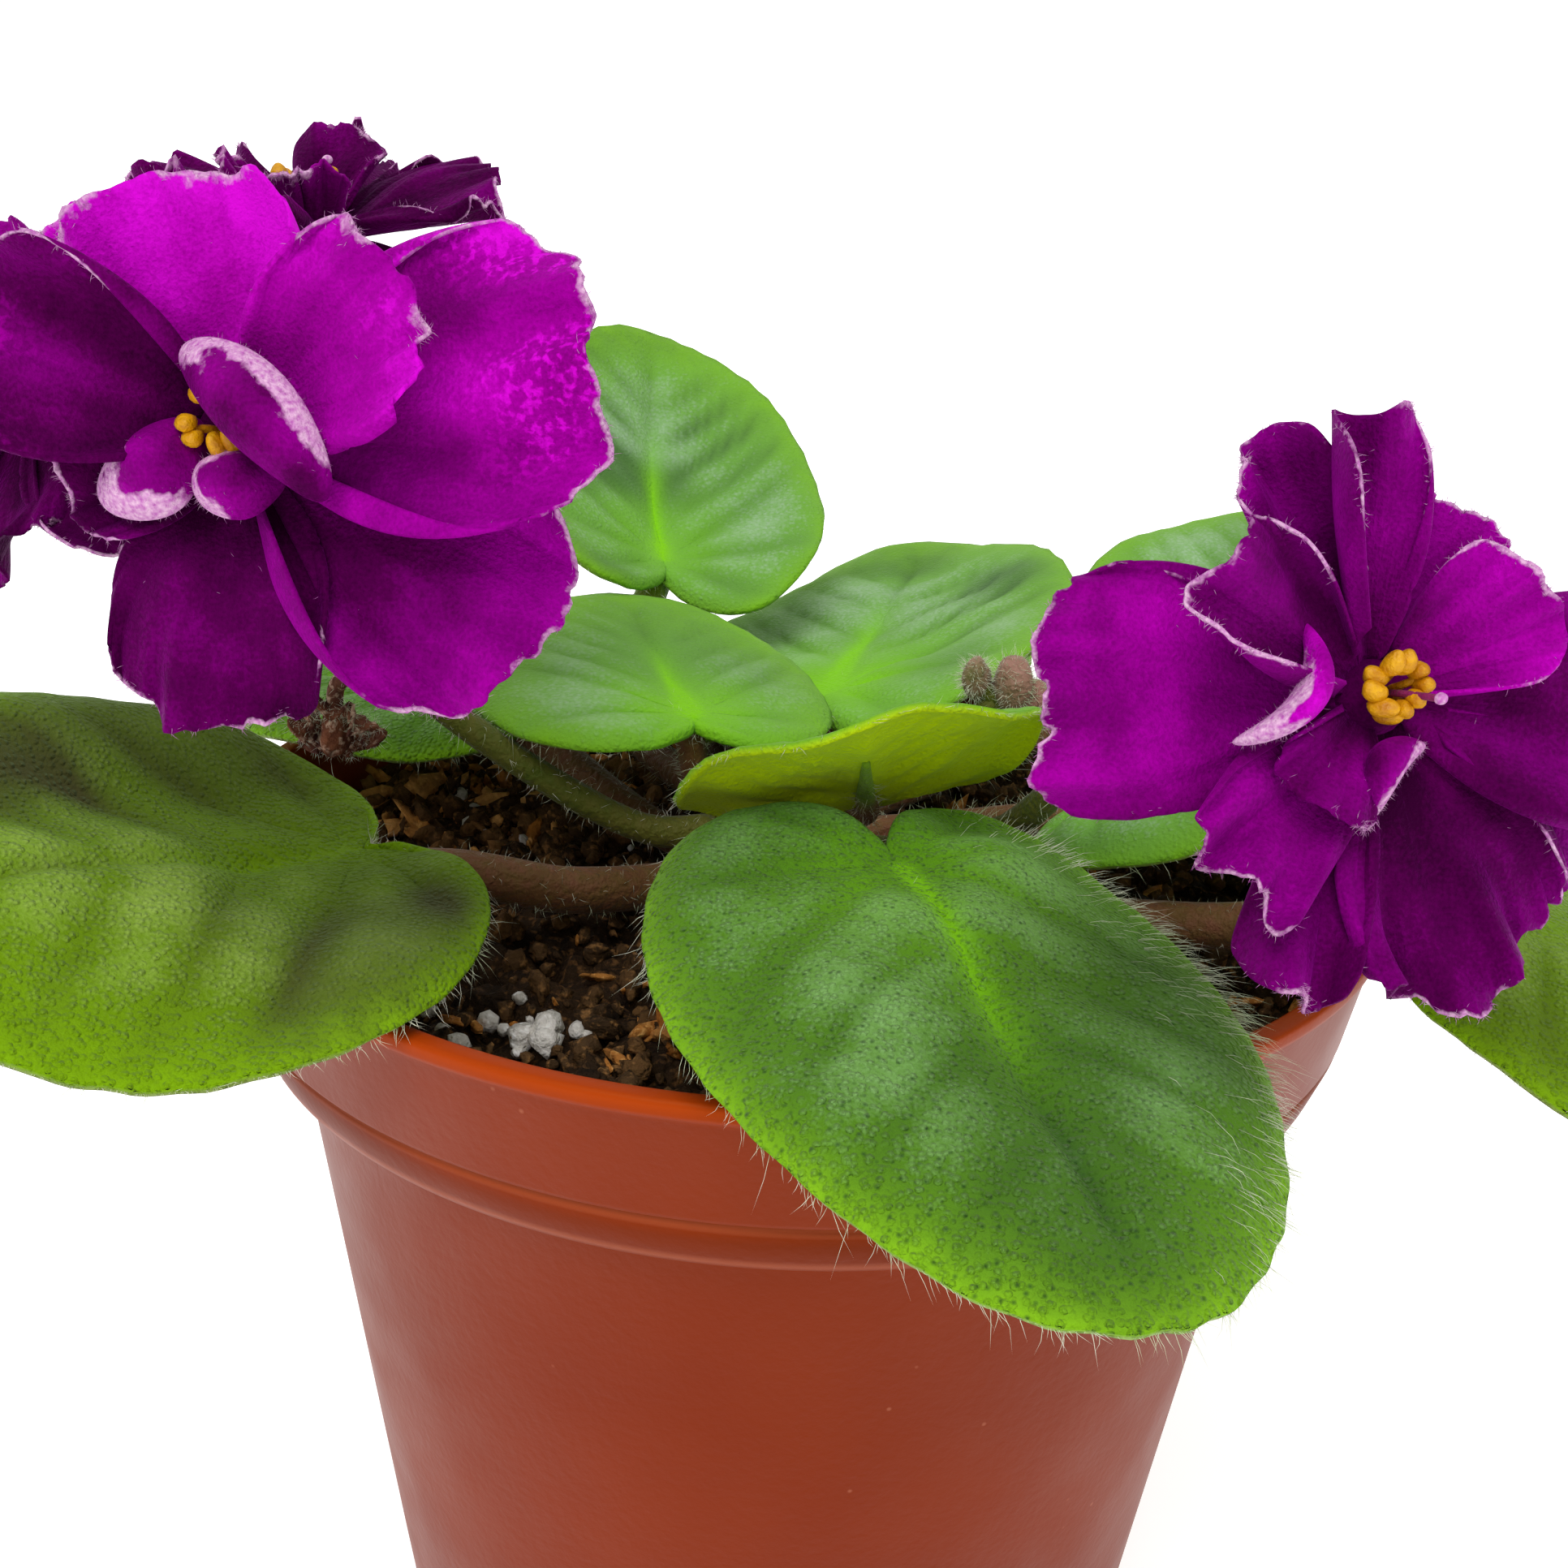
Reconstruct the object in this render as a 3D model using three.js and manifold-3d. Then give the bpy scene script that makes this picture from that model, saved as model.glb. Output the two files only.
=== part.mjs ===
// Potted african violet in a plastic nursery pot. Millimetres, +Z up, origin at the middle of the pot's base.
// Every leaf, flower stalk, flower, the crown they grow from, the soil and the pot is a mesh of its own.
import * as THREE from "three";
import { mergeVertices } from "three/addons/utils/BufferGeometryUtils.js";
import Module from "manifold-3d";

const wasm = await Module();
wasm.setup();

const { Vector3 } = THREE;
const radians = THREE.MathUtils.degToRad;

// Pot: a 110 mm thin-walled plastic pot with a flared collar.
const POT_HEIGHT = 96;
const RIM_RADIUS = 55;
const GROOVE_HEIGHT = 84.7;
const GROOVE_RADIUS = 52.7;
const COLLAR_HEIGHT = 80.2;
const COLLAR_RADIUS = 51.3;
const BODY_RADIUS = 47.9;
const BASE_RADIUS = 37.1;
const WALL = 1.4;
const LIP_DEPTH = 1.6;
const LIP_OVERHANG = 0.5;
const POT_SIDES = 44;
const DRAIN_COUNT = 6;
const DRAIN_RADIUS = 3;
const DRAIN_RING = 23;

// Soil: fills the pot to just under its rim and heaps up a little towards the crown.
const CLEARANCE = 0.35;
const SOIL_EDGE = 88.6;
const SOIL_MOUND = 0.8;
const SOIL_LUMPS = 0.7;
const SOIL_SIDES = 30;

// Crown: the short woody stub that everything grows from, a little in front of the pot's axis.
const CROWN = new Vector3(-2, -6.5, 0);
const CROWN_RADIUS = 5.2;
const CROWN_FOOT = 76;
const CROWN_TOP = 102;
// Heights at which leaf stalks leave the crown: oldest leaves lowest.
const ROOT_TIERS = [93, 96.8, 100.4];
const CROWN_BUD_LEAVES = 4;

// Leaves.
const BLADE_THICKNESS = 1.5;
const BLADE_EDGE = 0.9;
const BLADE_STEPS = 22;
const BLADE_RINGS = [0.5, 1];
const STALK_SIDES = 6;
const NOTCH_DEPTH = 0.8;
const NOTCH_WIDTH = 0.26;
const EGG = 0.14;

// Flowers.
const PETAL_THICKNESS = 0.8;
const THROAT_RADIUS = 2.6;
const PETAL_START = 1.9;
const SMALL_PETAL = 13;
const THROAT_BACK = -5;
const THROAT_FRONT = 1.6;
const CUP_LENGTH = 3.4;
const ANTHER_RADIUS = 0.95;
const ANTHER_RING = 1.25;

const colours = {
  pot: 0xa34a22,
  soil: 0x2a1c12,
  leaf: 0x3f7a2c,
  stalk: 0x6d5a2a,
  petal: 0x7a0c8a,
  anther: 0xd8a416,
};

function paint(colour, roughness) {
  return new THREE.MeshStandardMaterial({ color: colour, roughness, metalness: 0 });
}

// A solid from a list of points and the triangles between them.
function solidFrom(points, faces) {
  const vertProperties = new Float32Array(points.flatMap((p) => [p.x, p.y, p.z]));
  const triVerts = new Uint32Array(faces.flat());
  return new wasm.Manifold(new wasm.Mesh({ numProp: 3, vertProperties, triVerts }));
}

// A solid from one of three's own closed geometries.
function solidOf(geometry) {
  const bare = geometry.clone();
  bare.deleteAttribute("normal");
  bare.deleteAttribute("uv");
  const merged = mergeVertices(bare, 1e-4);
  const vertProperties = new Float32Array(merged.attributes.position.array);
  const triVerts = new Uint32Array(merged.index.array);
  return new wasm.Manifold(new wasm.Mesh({ numProp: 3, vertProperties, triVerts }));
}

// Joins solids into one body, and drops the loose scraps that crossing sheets can leave.
function join(solids) {
  const bodies = solids.reduce((sum, next) => sum.add(next)).decompose();
  return bodies.reduce((best, body) => (body.volume() > best.volume() ? body : best));
}

function meshOf(name, solid, material) {
  const { numProp, vertProperties, triVerts } = solid.getMesh();
  const places = new Float32Array((vertProperties.length / numProp) * 3);
  for (let i = 0; i < places.length / 3; i += 1) {
    places.set(vertProperties.subarray(i * numProp, i * numProp + 3), i * 3);
  }
  const geometry = new THREE.BufferGeometry();
  geometry.setAttribute("position", new THREE.BufferAttribute(places, 3));
  geometry.setIndex(new THREE.BufferAttribute(triVerts, 1));
  geometry.computeVertexNormals();
  const mesh = new THREE.Mesh(geometry, material);
  mesh.name = name;
  return mesh;
}

// A profile of [radius, height] pairs, from the axis to the axis, turned about the Z axis.
function turned(profile, sides) {
  const points = [];
  const faces = [];
  const rings = profile.map(([radius, height]) => {
    const start = points.length;
    const count = radius === 0 ? 1 : sides;
    for (let i = 0; i < count; i += 1) {
      const angle = (i * 2 * Math.PI) / sides;
      points.push(new Vector3(radius * Math.cos(angle), radius * Math.sin(angle), height));
    }
    return { start, count };
  });
  for (let k = 0; k + 1 < rings.length; k += 1) {
    const [low, high] = [rings[k], rings[k + 1]];
    for (let i = 0; i < sides; i += 1) {
      const next = (i + 1) % sides;
      const at = (ring, step) => ring.start + (ring.count === 1 ? 0 : step);
      if (low.count > 1) faces.push([at(low, i), at(low, next), at(high, next)]);
      if (high.count > 1) faces.push([at(low, i), at(high, next), at(high, i)]);
    }
  }
  return solidFrom(points, faces);
}

// A closed tube through a list of centres, with a radius for each.
function tube(centres, radii, sides) {
  const points = [];
  const faces = [];
  const along = centres.map((c, i) =>
    new Vector3()
      .subVectors(centres[Math.min(i + 1, centres.length - 1)], centres[Math.max(i - 1, 0)])
      .normalize(),
  );
  let side = new Vector3(0, 0, 1);
  if (Math.abs(along[0].z) > 0.9) side = new Vector3(1, 0, 0);
  centres.forEach((centre, i) => {
    side.addScaledVector(along[i], -side.dot(along[i])).normalize();
    const other = new Vector3().crossVectors(along[i], side);
    for (let k = 0; k < sides; k += 1) {
      const angle = (k * 2 * Math.PI) / sides;
      const point = centre.clone();
      point.addScaledVector(side, radii[i] * Math.cos(angle));
      points.push(point.addScaledVector(other, radii[i] * Math.sin(angle)));
    }
  });
  const first = points.push(centres[0].clone()) - 1;
  const last = points.push(centres[centres.length - 1].clone()) - 1;
  const lastRing = (centres.length - 1) * sides;
  for (let k = 0; k < sides; k += 1) {
    const next = (k + 1) % sides;
    for (let i = 0; i + 1 < centres.length; i += 1) {
      const [low, high] = [i * sides, (i + 1) * sides];
      faces.push([low + k, low + next, high + next]);
      faces.push([low + k, high + next, high + k]);
    }
    faces.push([first, next, k]);
    faces.push([last, lastRing + k, lastRing + next]);
  }
  return solidFrom(points, faces);
}

// A stem through a few points chosen by hand, tapering from one radius to another.
function stem(route, startRadius, endRadius, steps, sides = STALK_SIDES) {
  const curve = new THREE.CatmullRomCurve3(route, false, "centripetal");
  const centres = curve.getPoints(steps);
  const radii = centres.map((c, i) => startRadius + ((endRadius - startRadius) * i) / steps);
  return tube(centres, radii, sides);
}

// Gives a sheet of points its thickness: the same triangles on both faces, and a rim round its edge.
function thicken(points, faces, rim, thicknessAt) {
  const normals = points.map(() => new Vector3());
  for (const [a, b, c] of faces) {
    const ab = new Vector3().subVectors(points[b], points[a]);
    const ac = new Vector3().subVectors(points[c], points[a]);
    const normal = ab.cross(ac);
    for (const corner of [a, b, c]) normals[corner].add(normal);
  }
  normals.forEach((normal) => normal.normalize());
  const shifted = (sign) =>
    points.map((p, i) => p.clone().addScaledVector(normals[i], (sign * thicknessAt(i)) / 2));
  const count = points.length;
  const skin = [...shifted(1), ...shifted(-1)];
  const all = [...faces, ...faces.map(([a, b, c]) => [c + count, b + count, a + count])];
  rim.forEach((here, i) => {
    const next = rim[(i + 1) % rim.length];
    all.push([next, here, here + count]);
    all.push([next, here + count, next + count]);
  });
  return solidFrom(skin, all);
}

// The three directions of a leaf: along its midrib, across to its left, and out of its upper face.
function leafAxes({ heading, rise, roll }) {
  const [h, r, t] = [radians(heading), radians(rise), radians(roll)];
  const along = new Vector3(Math.cos(h) * Math.cos(r), Math.sin(h) * Math.cos(r), Math.sin(r));
  const level = new Vector3(-Math.sin(h), Math.cos(h), 0);
  const upright = new Vector3().crossVectors(along, level);
  const across = level.clone().multiplyScalar(Math.cos(t)).addScaledVector(upright, Math.sin(t));
  const out = level.clone().multiplyScalar(-Math.sin(t)).addScaledVector(upright, Math.cos(t));
  return { along, across, out };
}

// A point of a blade at an angle round the place where its stalk joins it. Reach 0 is there, and 1 the edge.
function bladePoint(leaf, angle, reach) {
  const { along, across, out } = leafAxes(leaf);
  const halfLength = ((1 + leaf.lobe) / 2) * leaf.length;
  const centre = leaf.length - halfLength;
  const notch = 1 - NOTCH_DEPTH * Math.exp(-(((Math.PI - Math.abs(angle)) / NOTCH_WIDTH) ** 2));
  const x = (centre + halfLength * Math.cos(angle)) * notch * reach;
  const egg = 1 - EGG * Math.cos(angle);
  const half = (leaf.width / 2) * (angle > 0 ? leaf.left : 1);
  const y = half * Math.sin(angle) * egg * notch * reach;
  const bend = radians(leaf.droop) / leaf.length;
  const turn = bend * x;
  const arch = radians(leaf.arch) / (leaf.width / 2);
  const sideways = Math.sin(arch * y) / arch;
  const wave = leaf.wave * reach ** 3 * Math.sin(5 * angle + leaf.phase);
  const twist = (-leaf.twist * x * y) / (leaf.length * (leaf.width / 2));
  const height = (Math.cos(arch * y) - 1) / arch + leaf.fold * Math.abs(y) + wave + twist;
  return new Vector3(...leaf.joint)
    .addScaledVector(along, Math.sin(turn) / bend + height * Math.sin(turn))
    .addScaledVector(out, (Math.cos(turn) - 1) / bend + height * Math.cos(turn))
    .addScaledVector(across, sideways);
}

function bladeSolid(leaf) {
  const points = [bladePoint(leaf, 0, 0)];
  const faces = [];
  const reaches = [0];
  for (const reach of BLADE_RINGS) {
    for (let i = 0; i < BLADE_STEPS; i += 1) {
      const even = (i * 2 * Math.PI) / BLADE_STEPS - Math.PI;
      points.push(bladePoint(leaf, even + 0.35 * Math.sin(even), reach));
      reaches.push(reach);
    }
  }
  for (let i = 0; i < BLADE_STEPS; i += 1) {
    const next = (i + 1) % BLADE_STEPS;
    faces.push([0, 1 + i, 1 + next]);
    for (let ring = 1; ring < BLADE_RINGS.length; ring += 1) {
      const [inner, outer] = [1 + (ring - 1) * BLADE_STEPS, 1 + ring * BLADE_STEPS];
      faces.push([inner + i, outer + i, outer + next]);
      faces.push([inner + i, outer + next, inner + next]);
    }
  }
  const rim = Array.from({ length: BLADE_STEPS }, (_, i) => points.length - BLADE_STEPS + i);
  const thicknessAt = (i) => BLADE_THICKNESS + (BLADE_EDGE - BLADE_THICKNESS) * reaches[i] ** 2;
  return thicken(points, faces, rim, thicknessAt);
}

// The fleshy stalk from the crown to the blade, which runs on under the blade as its midrib.
function leafStalk(leaf) {
  const { out } = leafAxes(leaf);
  const root = CROWN.clone();
  const start = radians(leaf.root.bearing);
  root.x += (CROWN_RADIUS + CLEARANCE) * Math.cos(start);
  root.y += (CROWN_RADIUS + CLEARANCE) * Math.sin(start);
  root.z = ROOT_TIERS[leaf.root.tier];
  const under = (share) => {
    const spot = bladePoint(leaf, 0, share);
    return spot.addScaledVector(out, -BLADE_THICKNESS / 2);
  };
  const lead = new Vector3(Math.cos(start), Math.sin(start), 0).multiplyScalar(1.5).add(root);
  const via = (leaf.via ?? []).map((p) => new Vector3(...p));
  const route = [root, lead, ...via, under(0), under(0.3), under(0.6)];
  const curve = new THREE.CatmullRomCurve3(route, false, "centripetal");
  const steps = 9;
  const centres = curve.getSpacedPoints(steps);
  const total = curve.getLength();
  const blade = 0.6 * leaf.length;
  const radii = centres.map((c, i) => {
    const beyond = ((i / steps) * total - (total - blade)) / blade;
    if (beyond < 0) return leaf.stalk;
    return leaf.stalk + (0.8 - leaf.stalk) * Math.min(1, beyond * 1.2);
  });
  return tube(centres, radii, STALK_SIDES);
}

function leafSolid(leaf) {
  return join([bladeSolid(leaf), leafStalk(leaf)]);
}

// Leaves by hand: joint is where the stalk meets the blade; angles are in degrees.
const plain = { droop: 12, arch: 12, fold: 0, twist: 0, left: 1, lobe: 0.34, wave: 0.6, phase: 0, stalk: 1.7 };
const leaves = [
  {
    name: "leaf_front", joint: [8.4, -32.3, 105], heading: -72, rise: -5, roll: -4,
    length: 47.5, width: 44, arch: 17, phase: 1, wave: 0.3,
    root: { bearing: -62, tier: 0 }, via: [[4, -20, 97]], stalk: 1.9,
  },
  {
    name: "leaf_left", joint: [-36.5, -24.8, 102], heading: 225, rise: 2, roll: -9,
    length: 40, width: 46, droop: -14, arch: -8, twist: 10, lobe: 0.18, wave: 0.3,
    root: { bearing: 208, tier: 0 }, via: [[-20, -17, 94.6], [-29, -21, 97.6]], stalk: 2.1,
  },
  {
    name: "leaf_right", joint: [61, -27.4, 99.6], heading: -12, rise: -11, roll: 5,
    length: 42, width: 41, droop: 23, arch: 23,
    root: { bearing: -18, tier: 0 }, via: [[20, -15, 94], [35, -21.5, 96.2], [47, -24.5, 98.8]], stalk: 2,
  },
  {
    name: "leaf_back_tall", joint: [-16.2, 31.8, 112.3], heading: 102, rise: 18, roll: 12,
    length: 38, width: 36.6, droop: -31, arch: -23, fold: 0.18,
    root: { bearing: 130, tier: 1 }, via: [[-10.5, 4, 97.3], [-17, 14, 98.6], [-19, 24, 104]],
  },
  {
    name: "leaf_back_low", joint: [2.5, 13.8, 104], heading: 74, rise: 3, roll: -14,
    length: 46, width: 47, droop: -9, arch: -14, left: 0.87,
    root: { bearing: 82, tier: 1 },
  },
  {
    name: "leaf_back_right", joint: [42.8, 28.3, 106.1], heading: 58, rise: 22, roll: 9,
    length: 35, width: 33, droop: 16, arch: 2,
    root: { bearing: 40, tier: 1 }, via: [[18, 9, 99.5]],
  },
  {
    name: "leaf_young_left", joint: [-10.2, -6.6, 107.8], heading: 108, rise: 6, roll: 4,
    length: 30, width: 31, droop: -3, arch: 8, wave: 0, lobe: 0.24, left: 1.2,
    root: { bearing: 172, tier: 2 }, stalk: 1.4,
  },
  {
    name: "leaf_young_front", joint: [5.5, -14.5, 104], heading: -92, rise: 36, roll: 15,
    length: 21, width: 32, droop: -5, arch: -14, lobe: 0.25,
    root: { bearing: -50, tier: 2 }, stalk: 1.1,
  },
  {
    name: "leaf_under_bloom", joint: [28, -7, 102.4], heading: -15, rise: 30, roll: 4,
    length: 30, width: 28, droop: 6, arch: 10,
    root: { bearing: 0, tier: 1 },
  },
  {
    name: "leaf_rear_left", joint: [-34, 15, 101.5], heading: 154, rise: -2, roll: 0,
    length: 39, width: 31, root: { bearing: 152, tier: 0 }, via: [[-14, -2, 95], [-25, 7, 99]],
  },
  {
    name: "leaf_rear", joint: [-17, 38.5, 101], heading: 113, rise: -2, roll: 0,
    length: 36, width: 28, root: { bearing: 106, tier: 0 }, via: [[-7, 12, 95]],
  },
  {
    name: "leaf_rear_right", joint: [10, 39, 101.2], heading: 74, rise: -2, roll: 0,
    length: 36, width: 28, root: { bearing: 66, tier: 0 }, via: [[4, 12, 95]],
  },
  {
    name: "leaf_far_right", joint: [45, 6, 101], heading: 17, rise: -2, roll: 0,
    length: 38, width: 31, root: { bearing: 26, tier: 0 }, via: [[20, 0, 94.6], [34, 3, 96.4]],
  },
].map((leaf) => ({ ...plain, ...leaf }));

// The frame of a flower: out along its facing, and its own right and top.
function flowerAxes(facing) {
  const out = new Vector3(...facing).normalize();
  const right = new Vector3().crossVectors(new Vector3(0, 0, 1), out).normalize();
  const top = new Vector3().crossVectors(out, right);
  return { out, right, top };
}

// A point of a petal: across runs from -1 to 1, and along from 0 at the throat to 1 at the edge.
function petalPoint(flower, petal, across, along) {
  const { out, right, top } = flowerAxes(flower.facing);
  const angle = radians(petal.turn + across * petal.spread);
  const reach = (petal.length - PETAL_START) * (1 - 0.22 * Math.abs(across) ** 3) * along;
  const tilt = radians(petal.tilt);
  const curl = radians(petal.curl) / petal.length;
  const slope = tilt + curl * reach;
  const radial = PETAL_START + (Math.sin(slope) - Math.sin(tilt)) / curl;
  const height = (Math.cos(tilt) - Math.cos(slope)) / curl;
  const ruffle = petal.ruffle * along ** 2.5 * Math.sin(petal.waves * across + petal.phase);
  const cup = petal.cup * reach * across ** 2;
  const spoke = right.clone().multiplyScalar(Math.cos(angle)).addScaledVector(top, Math.sin(angle));
  return new Vector3(...flower.centre)
    .addScaledVector(spoke, radial - ruffle * Math.sin(slope))
    .addScaledVector(out, petal.lift + height + cup + ruffle * Math.cos(slope));
}

function petalSolid(flower, petal) {
  const [columns, rows] = petal.length > SMALL_PETAL ? [6, 3] : [4, 2];
  const points = [];
  const faces = [];
  for (let row = 0; row <= rows; row += 1) {
    for (let column = 0; column <= columns; column += 1) {
      points.push(petalPoint(flower, petal, (2 * column) / columns - 1, row / rows));
    }
  }
  const at = (row, column) => row * (columns + 1) + column;
  for (let row = 0; row < rows; row += 1) {
    for (let column = 0; column < columns; column += 1) {
      faces.push([at(row, column), at(row + 1, column), at(row + 1, column + 1)]);
      faces.push([at(row, column), at(row + 1, column + 1), at(row, column + 1)]);
    }
  }
  const rim = [];
  for (let row = 0; row < rows; row += 1) rim.push(at(row, 0));
  for (let column = 0; column < columns; column += 1) rim.push(at(rows, column));
  for (let row = rows; row > 0; row -= 1) rim.push(at(row, columns));
  for (let column = columns; column > 0; column -= 1) rim.push(at(0, column));
  return thicken(points, faces, rim, () => PETAL_THICKNESS);
}

// A small turned solid set along a flower's facing, given by [radius, distance out] pairs.
function alongFacing(flower, profile, sides) {
  const { out, right, top } = flowerAxes(flower.facing);
  const [x, y, z] = flower.centre;
  const place = [right.x, right.y, right.z, 0, top.x, top.y, top.z, 0, out.x, out.y, out.z, 0, x, y, z, 1];
  return turned(profile, sides).transform(place);
}

function bloomSolid(flower) {
  const profile = [
    [0, THROAT_BACK],
    [1.7, THROAT_BACK],
    [THROAT_RADIUS, -1.5],
    [THROAT_RADIUS, THROAT_FRONT],
    [0, THROAT_FRONT],
  ];
  const throat = alongFacing(flower, profile, 8);
  return join([throat, ...flower.petals.map((petal) => petalSolid(flower, petal))]);
}

// Yellow two-lobed anthers on short filaments, just in front of the throat.
function antherSolid(flower) {
  const { out, right, top } = flowerAxes(flower.facing);
  const foot = THROAT_FRONT + CLEARANCE;
  const pieces = [alongFacing(flower, [[0, foot], [1.1, foot], [0.8, foot + 2.6], [0, foot + 2.6]], 6)];
  const count = flower.anthers;
  for (let i = 0; i < count; i += 1) {
    const angle = (i * 2 * Math.PI) / count + 0.4;
    const spoke = right.clone().multiplyScalar(Math.cos(angle)).addScaledVector(top, Math.sin(angle));
    const place = new Vector3(...flower.centre).addScaledVector(spoke, ANTHER_RING);
    place.addScaledVector(out, foot + 2.1 + 0.5 * Math.sin(3 * i));
    const lobe = new THREE.SphereGeometry(ANTHER_RADIUS, 6, 4);
    lobe.scale(1, 0.85, 1);
    lobe.translate(place.x, place.y, place.z);
    pieces.push(solidOf(lobe));
  }
  return join(pieces);
}

// The calyx behind a flower: a cup that ends just behind the throat, with five narrow sepals.
function calyxSolids(flower) {
  const front = THROAT_BACK - CLEARANCE;
  const back = front - CUP_LENGTH;
  const cup = alongFacing(flower, [[0, back], [1, back], [2.1, front - 1], [2.1, front], [0, front]], 6);
  const sepals = [0, 1, 2, 3, 4].map((i) => {
    const sepal = {
      turn: 30 + i * 72, length: 6.4, spread: 9, tilt: 8, curl: 14, cup: 0, ruffle: 0, waves: 1, phase: 0,
      lift: front - 0.9,
    };
    return narrowSheet(flower, sepal);
  });
  return [cup, ...sepals];
}

function narrowSheet(flower, sepal) {
  const points = [];
  const faces = [];
  const stations = [0.15, 1];
  for (const along of stations) {
    const width = along === 1 ? 0.35 : 1.4;
    for (const across of [-width, width]) points.push(petalPoint(flower, sepal, across, along));
  }
  for (let row = 0; row < stations.length - 1; row += 1) {
    const low = row * 2;
    faces.push([low, low + 2, low + 3]);
    faces.push([low, low + 3, low + 1]);
  }
  return thicken(points, faces, [0, 2, 3, 1], () => 0.7);
}

// The point where a flower's own stalk meets its calyx.
function calyxFoot(flower, extra = 0) {
  const { out } = flowerAxes(flower.facing);
  return new Vector3(...flower.centre).addScaledVector(out, THROAT_BACK - CLEARANCE - CUP_LENGTH + 0.4 - extra);
}

const outer = { spread: 36, tilt: 8, curl: -6, cup: 0.06, ruffle: 1.3, waves: 5.5, phase: 0, lift: 0.3 };
const inner = { spread: 34, tilt: 42, curl: -10, cup: 0.1, ruffle: 0.8, waves: 4, phase: 1, lift: 0.6 };
const flowers = [
  {
    name: "front_left", centre: [-38, -45, 139], facing: [-0.05, -0.88, 0.42], anthers: 4,
    petals: [
      { ...outer, turn: 110, length: 17.8, spread: 40, tilt: 14, lift: -0.4 },
      { ...outer, turn: 158, length: 18.5, spread: 32, tilt: 38, curl: -22, cup: 0.25, ruffle: 0.5, lift: 0.6 },
      { ...outer, turn: 38, length: 17.5, spread: 34, tilt: 34, lift: 0.7, ruffle: 0.7 },
      { ...outer, turn: 12, length: 25.5, spread: 34, tilt: 14, phase: 1, lift: -0.1 },
      { ...outer, turn: -32, length: 24.3, spread: 30, tilt: 4, phase: 2, lift: -0.9 },
      { ...outer, turn: -91, length: 19.3, spread: 34, tilt: 2, phase: 3, lift: -0.4 },
      { ...outer, turn: 142, length: 19, spread: 28, tilt: 8, phase: 4, lift: -1.1 },
      { ...outer, turn: 204, length: 12, spread: 30, tilt: 12, phase: 4, lift: -0.8 },
      { ...inner, turn: 22, length: 12, spread: 48, tilt: 50, curl: -34 },
      { ...inner, turn: 218, length: 11.5, spread: 36, tilt: 44, curl: -30 },
      { ...inner, turn: -76, length: 8.5, spread: 40, tilt: 44, curl: -20 },
    ],
  },
  {
    name: "top", centre: [-39, -21, 149.5], facing: [0.05, -0.25, 0.97], anthers: 3,
    petals: [
      { ...outer, turn: 8, length: 15, tilt: 22, ruffle: 1.6, phase: 1 },
      { ...outer, turn: 88, length: 15, tilt: 10, ruffle: 1.6, phase: 2 },
      { ...outer, turn: 162, length: 14, tilt: 18, ruffle: 1.6, phase: 3 },
      { ...outer, turn: 232, length: 13, tilt: 30, phase: 4 },
      { ...outer, turn: 302, length: 13, tilt: 30, phase: 5 },
      { ...inner, turn: 70, length: 10, tilt: 46 },
      { ...inner, turn: 180, length: 9, tilt: 50 },
      { ...inner, turn: 272, length: 9.5, spread: 40, tilt: 60 },
    ],
  },
  {
    name: "far_left", centre: [-60, -24, 136], facing: [-0.4, -0.7, 0.6], anthers: 3,
    petals: [
      { ...outer, turn: -15, length: 16.5, tilt: 2, phase: 1 },
      { ...outer, turn: 66, length: 14, tilt: 8, phase: 2 },
      { ...outer, turn: 140, length: 17, tilt: 14, phase: 3 },
      { ...outer, turn: 212, length: 18, tilt: 6, phase: 4 },
      { ...outer, turn: 283, length: 13.5, tilt: 4, phase: 5 },
      { ...inner, turn: 100, length: 9, tilt: 50 },
      { ...inner, turn: 220, length: 9, tilt: 46 },
      { ...inner, turn: 340, length: 9, tilt: 50 },
    ],
  },
  {
    name: "right", centre: [36.8, -50, 126.4], facing: [0.18, -0.88, 0.42], anthers: 5,
    petals: [
      { ...outer, turn: 182, length: 23.4, spread: 25, tilt: 6, phase: 1 },
      { ...outer, turn: 150, length: 17, spread: 22, tilt: 28, cup: 0.2, phase: 2, lift: 0.7 },
      { ...outer, turn: 119, length: 18.5, spread: 14, tilt: 12, cup: 0.3 },
      { ...outer, turn: 101, length: 18.6, spread: 14, tilt: 22, cup: 0.4, phase: 3, lift: 0.7 },
      { ...outer, turn: 62, length: 14, spread: 22, tilt: 10, phase: 4, lift: -0.6 },
      { ...outer, turn: -6, length: 22, spread: 30, tilt: 10, phase: 5 },
      { ...outer, turn: -70, length: 21.5, spread: 31, tilt: 2, ruffle: 1.8, waves: 7, phase: 1 },
      { ...outer, turn: -111, length: 21.5, spread: 14, tilt: 8, phase: 3, lift: -0.8 },
      { ...outer, turn: 226, length: 18, spread: 23, tilt: 10, phase: 5, lift: 0.6 },
      { ...outer, turn: -34, length: 20, spread: 22, tilt: 2, phase: 2, lift: -1 },
      { ...inner, turn: 34, length: 13, spread: 36, tilt: 36 },
      { ...inner, turn: 176, length: 12, spread: 22, tilt: 48 },
      { ...inner, turn: 232, length: 10.5, spread: 32, tilt: 30 },
      { ...inner, turn: -96, length: 8.5, spread: 24, tilt: 50 },
    ],
  },
];
const [frontLeft, topBloom, farLeft, rightBloom] = flowers;

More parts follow.
